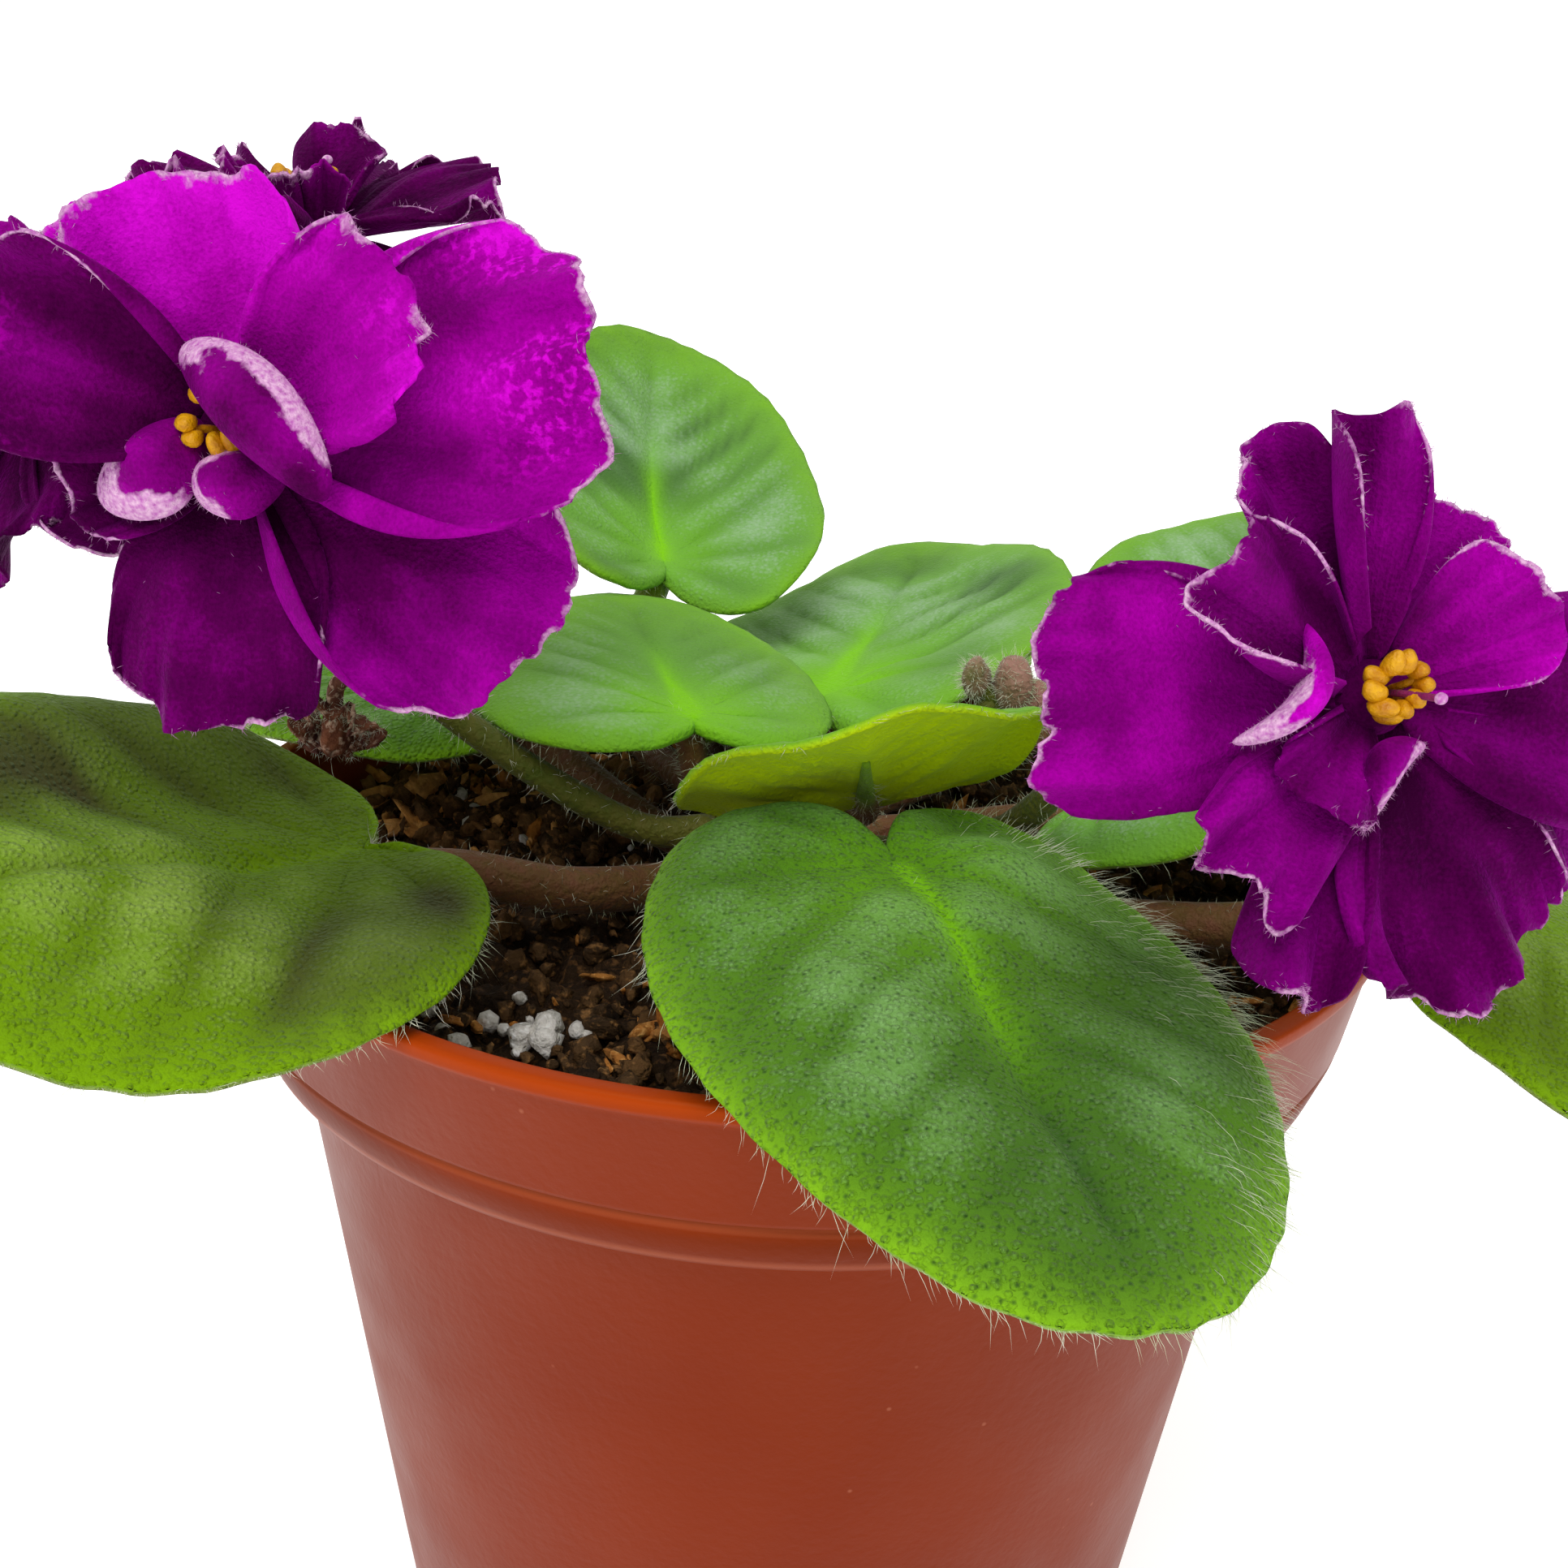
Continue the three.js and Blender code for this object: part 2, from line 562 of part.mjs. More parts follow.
// The forked flower stalk on the left: three flowers, and one spent flower that hangs from a thin stalk.
function leftStalk() {
  const fork = new Vector3(-36.5, -16, 118);
  const lowFork = new Vector3(-33, -12, 110.5);
  const peduncle = stem([new Vector3(-7.8, -7.2, 97), new Vector3(-14, -9, 97.5), lowFork, fork], 1.5, 1.3, 7);
  const reachTo = (flower, via) =>
    stem([fork, new Vector3(...via), calyxFoot(flower, 4), calyxFoot(flower)], 1, 0.95, 6, 5);
  const droop = [[-38, -9, 111], [-42.5, -5.5, 109], [-43.5, -4, 105]];
  const spent = stem([lowFork, ...droop.map((p) => new Vector3(...p))], 0.8, 0.8, 5, 5);
  const withered = new THREE.SphereGeometry(2.5, 7, 5);
  withered.scale(1, 0.9, 1.4);
  withered.translate(-43.4, -4, 102.8);
  return join([
    peduncle,
    reachTo(frontLeft, [-37, -24, 129]),
    reachTo(topBloom, [-37.5, -17, 130]),
    reachTo(farLeft, [-45, -15, 124]),
    spent,
    solidOf(withered),
    ...calyxSolids(frontLeft),
    ...calyxSolids(topBloom),
    ...calyxSolids(farLeft),
  ]);
}

function rightStalk() {
  const route = [[2.5, -10, 96.8], [10, -12, 97.8], [18, -14, 101], [23.5, -22.5, 110.5], [30, -32, 117.5]];
  const peduncle = stem(
    [...route.map((p) => new Vector3(...p)), calyxFoot(rightBloom, 4), calyxFoot(rightBloom)], 1.5, 1.1, 12,
  );
  return join([peduncle, ...calyxSolids(rightBloom)]);
}

// A young stalk with three closed, fuzzy flower buds.
function budStalk() {
  const tip = new Vector3(17, -8, 111);
  const route = [new Vector3(3, -3, 100.6), new Vector3(8, -4, 104), new Vector3(13.5, -8, 108), tip];
  const buds = [[18.6, -8.4, 113], [21, -8, 111], [15.2, -8.2, 113.2]].map((place, i) => {
    const bud = new THREE.SphereGeometry(2 - 0.2 * i, 7, 5);
    bud.scale(1, 1, 1.35);
    bud.translate(...place);
    return solidOf(bud).add(stem([tip, new Vector3(...place)], 0.8, 0.7, 1, 5));
  });
  return join([stem(route, 1.1, 0.9, 6), ...buds]);
}

function potSolid() {
  const slope = (BODY_RADIUS - BASE_RADIUS) / COLLAR_HEIGHT;
  const innerTop = BODY_RADIUS - WALL;
  const profile = [
    [0, 0],
    [BASE_RADIUS - 0.8, 0],
    [BASE_RADIUS, 0.8],
    [BODY_RADIUS, COLLAR_HEIGHT - 0.6],
    [COLLAR_RADIUS, COLLAR_HEIGHT],
    [GROOVE_RADIUS - 0.1, GROOVE_HEIGHT - 0.3],
    [GROOVE_RADIUS - 0.5, GROOVE_HEIGHT],
    [GROOVE_RADIUS + 0.1, GROOVE_HEIGHT + 0.3],
    [RIM_RADIUS - LIP_OVERHANG, POT_HEIGHT - LIP_DEPTH],
    [RIM_RADIUS, POT_HEIGHT - LIP_DEPTH + 0.3],
    [RIM_RADIUS, POT_HEIGHT - 0.4],
    [RIM_RADIUS - 0.4, POT_HEIGHT],
    [RIM_RADIUS - WALL - 0.2, POT_HEIGHT],
    [RIM_RADIUS - WALL - 0.5, POT_HEIGHT - 0.5],
    [COLLAR_RADIUS - WALL, COLLAR_HEIGHT + 1.4],
    [innerTop, COLLAR_HEIGHT + 0.4],
    [BASE_RADIUS - WALL + slope * WALL, WALL],
    [0, WALL],
  ];
  let pot = turned(profile, POT_SIDES);
  for (let i = 0; i < DRAIN_COUNT; i += 1) {
    const angle = (i * 2 * Math.PI) / DRAIN_COUNT;
    const drain = new THREE.CylinderGeometry(DRAIN_RADIUS, DRAIN_RADIUS, 4 * WALL, 10);
    drain.rotateX(Math.PI / 2);
    drain.translate(DRAIN_RING * Math.cos(angle), DRAIN_RING * Math.sin(angle), 0);
    pot = pot.subtract(solidOf(drain));
  }
  return pot;
}

// Height of the soil: a low mound with lumps that fade out at the wall.
function soilHeight(x, y) {
  const out = Math.hypot(x, y) / RIM_RADIUS;
  const lumps = Math.sin(0.31 * x + 1.3) * Math.sin(0.37 * y) + 0.6 * Math.sin(0.83 * x + 0.41 * y);
  return SOIL_EDGE + SOIL_MOUND * (1 - out * out) + SOIL_LUMPS * lumps;
}

function soilSolid() {
  const inside = (height) => {
    if (height > COLLAR_HEIGHT + 1.4) {
      const share = (height - COLLAR_HEIGHT) / (POT_HEIGHT - COLLAR_HEIGHT);
      return COLLAR_RADIUS + share * (RIM_RADIUS - COLLAR_RADIUS) - WALL - 2.5 * CLEARANCE;
    }
    const share = height / COLLAR_HEIGHT;
    return BASE_RADIUS + share * (BODY_RADIUS - BASE_RADIUS) - WALL - CLEARANCE;
  };
  const floor = WALL + CLEARANCE;
  const step = COLLAR_HEIGHT + 1.9;
  const wall = [[inside(floor), floor], [inside(COLLAR_HEIGHT), step - 1.3], [inside(step), step]];
  const edge = inside(SOIL_EDGE - 1);
  const points = [new Vector3(0, 0, floor)];
  const faces = [];
  const ring = (radius, height) => {
    for (let i = 0; i < SOIL_SIDES; i += 1) {
      const angle = (i * 2 * Math.PI) / SOIL_SIDES;
      const [x, y] = [radius * Math.cos(angle), radius * Math.sin(angle)];
      points.push(new Vector3(x, y, height ?? soilHeight(x, y)));
    }
  };
  for (const [radius, height] of wall) ring(radius, height);
  const levels = [1, 0.88, 0.72, 0.54, 0.36, 0.18];
  for (const level of levels) ring(edge * level);
  const top = points.push(new Vector3(0, 0, soilHeight(0, 0))) - 1;
  const rings = wall.length + levels.length;
  for (let i = 0; i < SOIL_SIDES; i += 1) {
    const next = (i + 1) % SOIL_SIDES;
    faces.push([0, 1 + next, 1 + i]);
    for (let k = 0; k + 1 < rings; k += 1) {
      const [low, high] = [1 + k * SOIL_SIDES, 1 + (k + 1) * SOIL_SIDES];
      faces.push([low + i, low + next, high + next]);
      faces.push([low + i, high + next, high + i]);
    }
    const last = 1 + (rings - 1) * SOIL_SIDES;
    faces.push([last + i, last + next, top]);
  }
  const hole = new THREE.CylinderGeometry(CROWN_RADIUS + CLEARANCE, CROWN_RADIUS + CLEARANCE, 40, 16);
  hole.rotateX(Math.PI / 2);
  hole.translate(CROWN.x, CROWN.y, CROWN_FOOT - CLEARANCE + 20);
  return solidFrom(points, faces).subtract(solidOf(hole));
}

// The crown: a ringed stub with a tuft of leaves still folded in bud.
function crownSolid() {
  const stub = turned(
    [
      [0, CROWN_FOOT],
      [3.6, CROWN_FOOT],
      [CROWN_RADIUS - 0.6, CROWN_FOOT + 6],
      [CROWN_RADIUS, 88],
      [CROWN_RADIUS - 0.4, 93],
      [CROWN_RADIUS, 97],
      [CROWN_RADIUS, CROWN_TOP - 1],
      [2.6, CROWN_TOP],
      [0, CROWN_TOP],
    ],
    12,
  );
  const buds = Array.from({ length: CROWN_BUD_LEAVES }, (_, i) => {
    const angle = (i * 2 * Math.PI) / CROWN_BUD_LEAVES;
    const bud = new THREE.SphereGeometry(1.4, 6, 4);
    bud.scale(0.7, 1, 1.5);
    bud.rotateY(0.3);
    bud.rotateZ(angle);
    bud.translate(1.5 * Math.cos(angle), 1.5 * Math.sin(angle), CROWN_TOP - 0.6);
    return solidOf(bud);
  });
  return join([stub, ...buds]).translate([CROWN.x, CROWN.y, 0]);
}

const plant = new THREE.Group();
plant.add(meshOf("pot", potSolid(), paint(colours.pot, 0.45)));
plant.add(meshOf("soil", soilSolid(), paint(colours.soil, 0.95)));
plant.add(meshOf("crown", crownSolid(), paint(colours.stalk, 0.7)));
for (const leaf of leaves) plant.add(meshOf(leaf.name, leafSolid(leaf), paint(colours.leaf, 0.6)));
plant.add(meshOf("stalk_left", leftStalk(), paint(colours.stalk, 0.7)));
plant.add(meshOf("stalk_right", rightStalk(), paint(colours.stalk, 0.7)));
plant.add(meshOf("stalk_buds", budStalk(), paint(colours.stalk, 0.7)));
for (const flower of flowers) {
  plant.add(meshOf("bloom_" + flower.name, bloomSolid(flower), paint(colours.petal, 0.6)));
  plant.add(meshOf("anthers_" + flower.name, antherSolid(flower), paint(colours.anther, 0.6)));
}

export default plant;
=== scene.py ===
# Potted african violet: its looks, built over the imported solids. Lengths are in mm until a mesh is made.
import math

import bpy
import numpy as np
from mathutils import Matrix


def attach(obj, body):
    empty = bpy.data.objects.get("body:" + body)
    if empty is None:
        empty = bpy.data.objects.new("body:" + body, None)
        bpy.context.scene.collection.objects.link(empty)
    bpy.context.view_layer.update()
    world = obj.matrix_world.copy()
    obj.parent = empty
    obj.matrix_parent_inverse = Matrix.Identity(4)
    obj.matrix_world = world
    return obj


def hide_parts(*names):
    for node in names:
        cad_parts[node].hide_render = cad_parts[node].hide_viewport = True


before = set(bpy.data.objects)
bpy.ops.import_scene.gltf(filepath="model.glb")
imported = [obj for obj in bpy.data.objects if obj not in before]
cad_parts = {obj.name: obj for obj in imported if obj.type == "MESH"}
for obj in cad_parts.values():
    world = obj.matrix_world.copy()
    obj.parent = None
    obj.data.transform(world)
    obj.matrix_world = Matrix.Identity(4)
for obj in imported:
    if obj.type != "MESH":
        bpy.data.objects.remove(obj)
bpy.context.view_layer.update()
rng = np.random.default_rng(11)
MM = 0.001

# Pot, as in the solids.
POT_HEIGHT = 96
RIM_RADIUS = 55
GROOVE_HEIGHT = 84.7
GROOVE_RADIUS = 52.7
COLLAR_HEIGHT = 80.2
COLLAR_RADIUS = 51.3
BODY_RADIUS = 47.9
BASE_RADIUS = 37.1
WALL = 1.4
LIP_DEPTH = 1.6
DRAIN_COUNT = 6
DRAIN_RADIUS = 3
DRAIN_RING = 23
POT_SIDES = 200

# Soil and crown, as in the solids.
CLEARANCE = 0.35
SOIL_EDGE = 88.6
SOIL_MOUND = 0.8
SOIL_LUMPS = 0.7
SOIL_STEPS = (210, 74)
SOIL_REACH = 50
CROWN = np.array([-2, -6.5, 0])
CROWN_RADIUS = 5.2
CROWN_FOOT = 76
CROWN_TOP = 102
ROOT_TIERS = [93, 96.8, 100.4]

# Leaves, as in the solids.
BLADE_THICKNESS = 1.4
BLADE_EDGE = 0.7
NOTCH_DEPTH = 0.8
NOTCH_WIDTH = 0.26
EGG = 0.14
STALK_TIP = 0.35

# Relief of the blades: veins that leave the midrib in pairs, with pillows between them.
VEIN_SLOPE = 0.75
VEIN_CURVE = 0.012
MIDRIB_GROOVE = 0.7
MIDRIB_WIDTH = 1.7
SCALLOP_COUNT = 31
VEIN_FAN = 42

# Stalks, with the share of a blade that its stalk runs under, and hairs.
STALK_UNDER = 0.6
STALK_STEPS = 46
STALK_SIDES = 12
HAIR_RADIUS = 0.022
STEM_HAIR_RADIUS = 0.026

# Flowers, as in the solids.
PETAL_THICKNESS = 0.5
PETAL_START = 1.9
THROAT_RADIUS = 2.6
THROAT_BACK = -5
THROAT_FRONT = 1.6
CUP_LENGTH = 3.4
BIG_PETAL = 13
BIG_PETAL_STEPS = (86, 26)
SMALL_PETAL_STEPS = (50, 18)

# The camera: its place in mm, its axes, and its focal length in pixels of the 1932-pixel frame.
CAMERA = [0, -167.063, 163.327]
CAMERA_RIGHT = [0.998806, 0.025039, 0.041942]
CAMERA_UP = [-0.048134, 0.358245, 0.932386]
CAMERA_AHEAD = [-0.008321, 0.933292, -0.359022]
FOCAL_PIXELS = 2301.08
FRAME_PIXELS = 1932
SENSOR = 36

# Light: a soft sun, a white world, and a floor with a glow of its own. The floor's reach is in metres.
FLOOR_REACH = 6.0
FLOOR_GLOW = 0.5
WORLD_LIGHT = 0.68
WORLD_SEEN = 1.1
SUN_ENERGY = 1.8
SUN_SPREAD = 35
SUN_TILT = (30, -7, 0)


def unit(vectors):
    return vectors / np.linalg.norm(vectors, axis=-1, keepdims=True)


def noise(points, size, seed):
    """Smooth random values from -1 to 1 that change over a distance of about size."""
    cells = 32
    lattice = np.random.default_rng(seed).uniform(-1, 1, (cells, cells, cells))
    place = np.asarray(points) / size
    cell = np.floor(place).astype(int)
    part = place - cell
    part = part * part * (3 - 2 * part)
    total = 0
    for corner in np.ndindex(2, 2, 2):
        at = (cell + corner) % cells
        weight = np.prod(np.where(corner, part, 1 - part), axis=-1)
        total = total + weight * lattice[at[..., 0], at[..., 1], at[..., 2]]
    return total


def smooth_step(low, high, value):
    share = np.clip((value - low) / (high - low), 0, 1)
    return share * share * (3 - 2 * share)


def add_object(name, data):
    made = bpy.data.objects.new(name, data)
    bpy.context.scene.collection.objects.link(made)
    return made


# Meshes

VALUES = ("vein", "margin", "under", "tone", "bulge", "across", "along")


class Piece:
    """Solids of several materials, gathered into one mesh with a few values at each point."""

    def __init__(self, name):
        self.name = name
        self.points = []
        self.faces = []
        self.kinds = []
        self.values = {key: [] for key in VALUES}
        self.materials = []
        self.count = 0

    def add(self, points, faces, material, **values):
        if material not in self.materials:
            self.materials.append(material)
        self.points.append(points)
        self.faces.append(faces + self.count)
        self.kinds.append(np.full(len(faces), self.materials.index(material)))
        for key in VALUES:
            self.values[key].append(np.broadcast_to(values.get(key, 0.0), len(points)))
        self.count += len(points)

    def make(self, slot, *nodes):
        points = np.concatenate(self.points) * MM
        faces = np.concatenate(self.faces).astype(np.int32)
        mesh = bpy.data.meshes.new(self.name)
        mesh.vertices.add(len(points))
        mesh.vertices.foreach_set("co", points.ravel())
        mesh.loops.add(faces.size)
        mesh.loops.foreach_set("vertex_index", faces.ravel())
        mesh.polygons.add(len(faces))
        mesh.polygons.foreach_set("loop_start", np.arange(0, faces.size, 3))
        for material in self.materials:
            mesh.materials.append(material)
        mesh.polygons.foreach_set("material_index", np.concatenate(self.kinds))
        mesh.update(calc_edges=True)
        for key, lists in self.values.items():
            numbers = np.concatenate(lists)
            if np.any(numbers):
                mesh.attributes.new(key, "FLOAT", "POINT").data.foreach_set("value", numbers)
        mesh.shade_smooth()
        made = add_object(self.name, mesh)
        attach(made, "root")
        if nodes:
            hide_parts(*nodes)
        return made


def point_normals(points, faces):
    corners = points[faces]
    directions = np.cross(corners[:, 1] - corners[:, 0], corners[:, 2] - corners[:, 0])
    normals = np.zeros_like(points)
    for k in range(3):
        np.add.at(normals, faces[:, k], directions)
    return unit(normals + 1e-12)


def thicken(points, faces, rim, thickness):
    """Gives a sheet its thickness: its upper face, its lower face and a rim."""
    normals = point_normals(points, faces)
    offset = normals * np.asarray(thickness)[..., None] / 2
    count = len(points)
    after = np.roll(rim, -1)
    band = np.concatenate(
        [np.stack([after, rim, rim + count], 1), np.stack([after, rim + count, after + count], 1)]
    )
    skin = np.concatenate([points + offset, points - offset])
    return skin, np.concatenate([faces, faces[:, ::-1] + count, band])


def grid_faces(rows, columns):
    """Triangles of a grid of points, row by row."""
    at = np.arange(rows * columns).reshape(rows, columns)
    a, b = at[:-1, :-1].ravel(), at[1:, :-1].ravel()
    c, d = at[1:, 1:].ravel(), at[:-1, 1:].ravel()
    return np.concatenate([np.stack([a, b, c], 1), np.stack([a, c, d], 1)])


def grid_rim(rows, columns):
    at = np.arange(rows * columns).reshape(rows, columns)
    return np.concatenate([at[:-1, 0], at[-1, :-1], at[:0:-1, -1], at[0, :0:-1]])


def grid_solid(points, thickness):
    """A thin solid from a sheet whose points are in rows and columns."""
    rows, columns = points.shape[:2]
    return thicken(points.reshape(-1, 3), grid_faces(rows, columns), grid_rim(rows, columns), thickness)


def ring_faces(rings, sides):
    """Triangles between closed rings of points, ring by ring."""
    at = np.arange(rings * sides).reshape(rings, sides)
    after = np.roll(at, -1, axis=1)
    a, b = at[:-1].ravel(), after[:-1].ravel()
    c, d = after[1:].ravel(), at[1:].ravel()
    return np.concatenate([np.stack([a, b, c], 1), np.stack([a, c, d], 1)])


def closed_faces(rings, sides):
    """Triangles of rings that are closed by two more points, one for the first ring and one for the last."""
    here = np.arange(sides)
    after = np.roll(here, -1)
    last = (rings - 1) * sides
    start = np.stack([np.full(sides, rings * sides), after, here], 1)
    end = np.stack([np.full(sides, rings * sides + 1), here + last, after + last], 1)
    return np.concatenate([ring_faces(rings, sides), start, end])


def tube(centres, radii, sides):
    """A closed tube through a list of centres."""
    centres = np.asarray(centres, float)
    count = len(centres)
    step = np.arange(count)
    along = unit(centres[np.minimum(step + 1, count - 1)] - centres[np.maximum(step - 1, 0)])
    side = np.array([1.0, 0, 0]) if abs(along[0][2]) > 0.9 else np.array([0, 0, 1.0])
    turns = np.arange(sides) * 2 * np.pi / sides
    rings = []
    for centre, direction, radius in zip(centres, along, np.broadcast_to(radii, count)):
        side = unit(side - direction * (side @ direction))
        other = np.cross(direction, side)
        rings.append(centre + radius * (np.cos(turns)[:, None] * side + np.sin(turns)[:, None] * other))
    return np.concatenate([*rings, centres[:1], centres[-1:]]), closed_faces(count, sides)


def level_ring(radius, height, sides):
    """Points of a circle round the Z axis."""
    turns = np.arange(sides) * 2 * np.pi / sides
    return np.stack([radius * np.cos(turns), radius * np.sin(turns), np.full(sides, height)], 1)


def turned(profile, sides):
    """A closed solid turned about the Z axis, from [radius, height] pairs that start and end on it."""
    rings = [level_ring(radius, height, sides) for radius, height in np.array(profile[1:-1], float)]
    points = np.concatenate([*rings, [[0, 0, profile[0][1]]], [[0, 0, profile[-1][1]]]])
    return points, closed_faces(len(rings), sides)


def curve_through(route, count):
    """Points at even steps along a centripetal Catmull-Rom curve, which is the one the solids use."""
    route = np.asarray(route, float)
    ends = np.concatenate([[2 * route[0] - route[1]], route, [2 * route[-1] - route[-2]]])
    shares = np.linspace(0, 1, 40, endpoint=False)[:, None]
    dense = []
    for p0, p1, p2, p3 in zip(ends, ends[1:], ends[2:], ends[3:]):
        d0, d1, d2 = (math.sqrt(np.linalg.norm(b - a)) for a, b in ((p0, p1), (p1, p2), (p2, p3)))
        t1 = ((p1 - p0) / d0 - (p2 - p0) / (d0 + d1) + (p2 - p1) / d1) * d1
        t2 = ((p2 - p1) / d1 - (p3 - p1) / (d1 + d2) + (p3 - p2) / d2) * d1
        cubic = 2 * p1 - 2 * p2 + t1 + t2
        square = -3 * p1 + 3 * p2 - 2 * t1 - t2
        dense.append(p1 + t1 * shares + square * shares**2 + cubic * shares**3)
    dense = np.concatenate([*dense, route[-1:]])
    steps = np.linalg.norm(np.diff(dense, axis=0), axis=1)
    walked = np.concatenate([[0], np.cumsum(steps)])
    wanted = np.linspace(0, walked[-1], count)
    return np.stack([np.interp(wanted, walked, dense[:, k]) for k in range(3)], 1), walked[-1]


def strands(roots, directions, lengths, radius, lean):
    """Fine three-sided hairs that taper to a point and lean over towards their tips."""
    count = len(roots)
    lengths = np.broadcast_to(lengths, count)[:, None]
    side = unit(np.cross(directions, rng.normal(size=(count, 3))))
    other = np.cross(directions, side)
    points = np.empty((count, 7, 3))
    for ring, (share, width) in enumerate(((0, 1), (0.5, 0.7))):
        centre = roots + lengths * (directions * share + lean * share**2)
        for k in range(3):
            turn = k * 2 * np.pi / 3
            points[:, ring * 3 + k] = centre + radius * width * (np.cos(turn) * side + np.sin(turn) * other)
    points[:, 6] = roots + lengths * (directions + lean)
    one = [[0, 2, 1], [3, 4, 6], [4, 5, 6], [5, 3, 6]]
    for k in range(3):
        after = (k + 1) % 3
        one += [[k, after, 3 + after], [k, 3 + after, 3 + k]]
    faces = np.array(one)[None] + 7 * np.arange(count)[:, None, None]
    return points.reshape(-1, 3), faces.reshape(-1, 3)


def scatter(points, faces, count, weight=None):
    """Random places on a mesh, with the normal there."""
    normals = point_normals(points, faces)
    corners = points[faces]
    area = np.linalg.norm(np.cross(corners[:, 1] - corners[:, 0], corners[:, 2] - corners[:, 0]), axis=1)
    if weight is not None:
        area = area * weight[faces].mean(axis=1)
    chosen = rng.choice(len(faces), count, p=area / area.sum())
    share = rng.dirichlet((1, 1, 1), count)[..., None]
    spots = (corners[chosen] * share).sum(axis=1)
    return spots, unit((normals[faces[chosen]] * share).sum(axis=1))


# Materials


def srgb(red, green, blue):
    """A colour given as 0 to 255 on a screen, as Blender's linear values."""
    parts = [c / 255 for c in (red, green, blue)]
    return (*[c / 12.92 if c <= 0.04045 else ((c + 0.055) / 1.055) ** 2.4 for c in parts], 1)


class Graph:
    """A node material, with short calls for the nodes that all of them use."""

    def __init__(self, name, roughness, **settings):
        self.material = bpy.data.materials.new(name)
        self.material.use_nodes = True
        self.tree = self.material.node_tree
        self.shader = self.tree.nodes["Principled BSDF"]
        self.shader.inputs["Roughness"].default_value = roughness
        for key, value in settings.items():
            self.shader.inputs[key.replace("_", " ")].default_value = value
        self.place = self.node("ShaderNodeTexCoord").outputs["Object"]

    def node(self, kind, inputs=None, **settings):
        new = self.tree.nodes.new(kind)
        for key, value in settings.items():
            setattr(new, key, value)
        for key, value in (inputs or {}).items():
            if isinstance(value, bpy.types.NodeSocket):
                self.tree.links.new(value, new.inputs[key])
            else:
                new.inputs[key].default_value = value
        return new

    def value(self, name):
        return self.node("ShaderNodeAttribute", attribute_name=name).outputs["Fac"]

    def grain(self, size, detail=3, place=None, low=0.3, high=0.7):
        """Noise with features of about size in mm, spread to run from 0 to 1."""
        inputs = {"Vector": place or self.place, "Scale": 1 / (size * MM), "Detail": detail}
        raw = self.node("ShaderNodeTexNoise", inputs).outputs["Fac"]
        return self.spread(raw, low, high)

    def spread(self, value, low, high, start=0, end=1):
        inputs = {"Value": value, "From Min": low, "From Max": high, "To Min": start, "To Max": end}
        return self.node("ShaderNodeMapRange", inputs).outputs["Result"]

    def maths(self, operation, first, second=0.5):
        return self.node("ShaderNodeMath", {0: first, 1: second}, operation=operation).outputs[0]

    def add(self, first, second):
        return self.maths("ADD", first, second)

    def times(self, first, second):
        return self.maths("MULTIPLY", first, second)

    def stir(self, value, *parts):
        """A value with parts added to it, each of which runs from a low to a high."""
        for part, low, high in parts:
            value = self.add(value, self.spread(part, 0, 1, low, high))
        return value

    def blend(self, share, first, second):
        return self.node("ShaderNodeMix", {0: share, 6: first, 7: second}, data_type="RGBA").outputs[2]

    def bump(self, height, depth, before=None):
        """A bump of a depth in mm."""
        inputs = {"Height": height, "Distance": depth * MM}
        if before is not None:
            inputs["Normal"] = before
        return self.node("ShaderNodeBump", inputs).outputs["Normal"]

    def cells(self, size, feature="F1", **inputs):
        found = {"Vector": self.place, "Scale": 1 / (size * MM), **inputs}
        return self.node("ShaderNodeTexVoronoi", found, feature=feature).outputs["Distance"]

    def finish(self, colour, normal=None, roughness=None):
        for name, value in (("Base Color", colour), ("Normal", normal), ("Roughness", roughness)):
            if value is not None:
                self.tree.links.new(value, self.shader.inputs[name])
        return self.material


def leaf_material(name, dark, valley_shade, bulge, vein, margin, underside, dots=0.75, dent=0.3):
    """Leaf skin with pebbles, and dark dots that are painted shade in small dimples. Its colours are those of
    its parts, with painted shade in the valleys and grooves and painted highlight on the raised parts.
    """
    g = Graph(
        name, 0.6, Sheen_Weight=0.12, Sheen_Roughness=0.5, Sheen_Tint=(0.6, 0.9, 0.4, 1),
        Specular_IOR_Level=0.12, Specular_Tint=(0.7, 1, 0.45, 1),
    )
    dimples = g.spread(g.cells(0.8, Randomness=0.8), 0.06, 0.3)
    pebbles = g.spread(g.cells(0.55, Randomness=0.9), 0.6, 0.05)
    velvet = g.grain(0.32, 2, low=0.3, high=0.72)
    parts = ((g.grain(5, 2), -0.25, 0.25), (velvet, -0.2, 0.2), (pebbles, -0.45, 0.15))
    # Painted shade and highlight: valleys and pebble edges take the darker colour, pillows and pebble tops
    # the lighter one.
    raised = g.stir(g.value("bulge"), *parts)
    colour = g.blend(raised, valley_shade, bulge)
    # Painted shade: the tone darkens the grooves and the shaded half of a blade, with random dark patches.
    colour = g.blend(g.value("tone"), colour, dark)
    edge = g.times(g.value("margin"), g.spread(g.grain(3), 0, 1, 0.6, 1))
    colour = g.blend(edge, colour, margin)
    colour = g.blend(g.value("vein"), colour, vein)
    # Painted shade: dark dots for the shade in small dimples.
    colour = g.blend(g.times(g.maths("SUBTRACT", 1, dimples), dots), colour, dark)
    colour = g.blend(g.value("under"), colour, underside)
    return g.finish(colour, g.bump(velvet, 0.07, g.bump(pebbles, dent)))


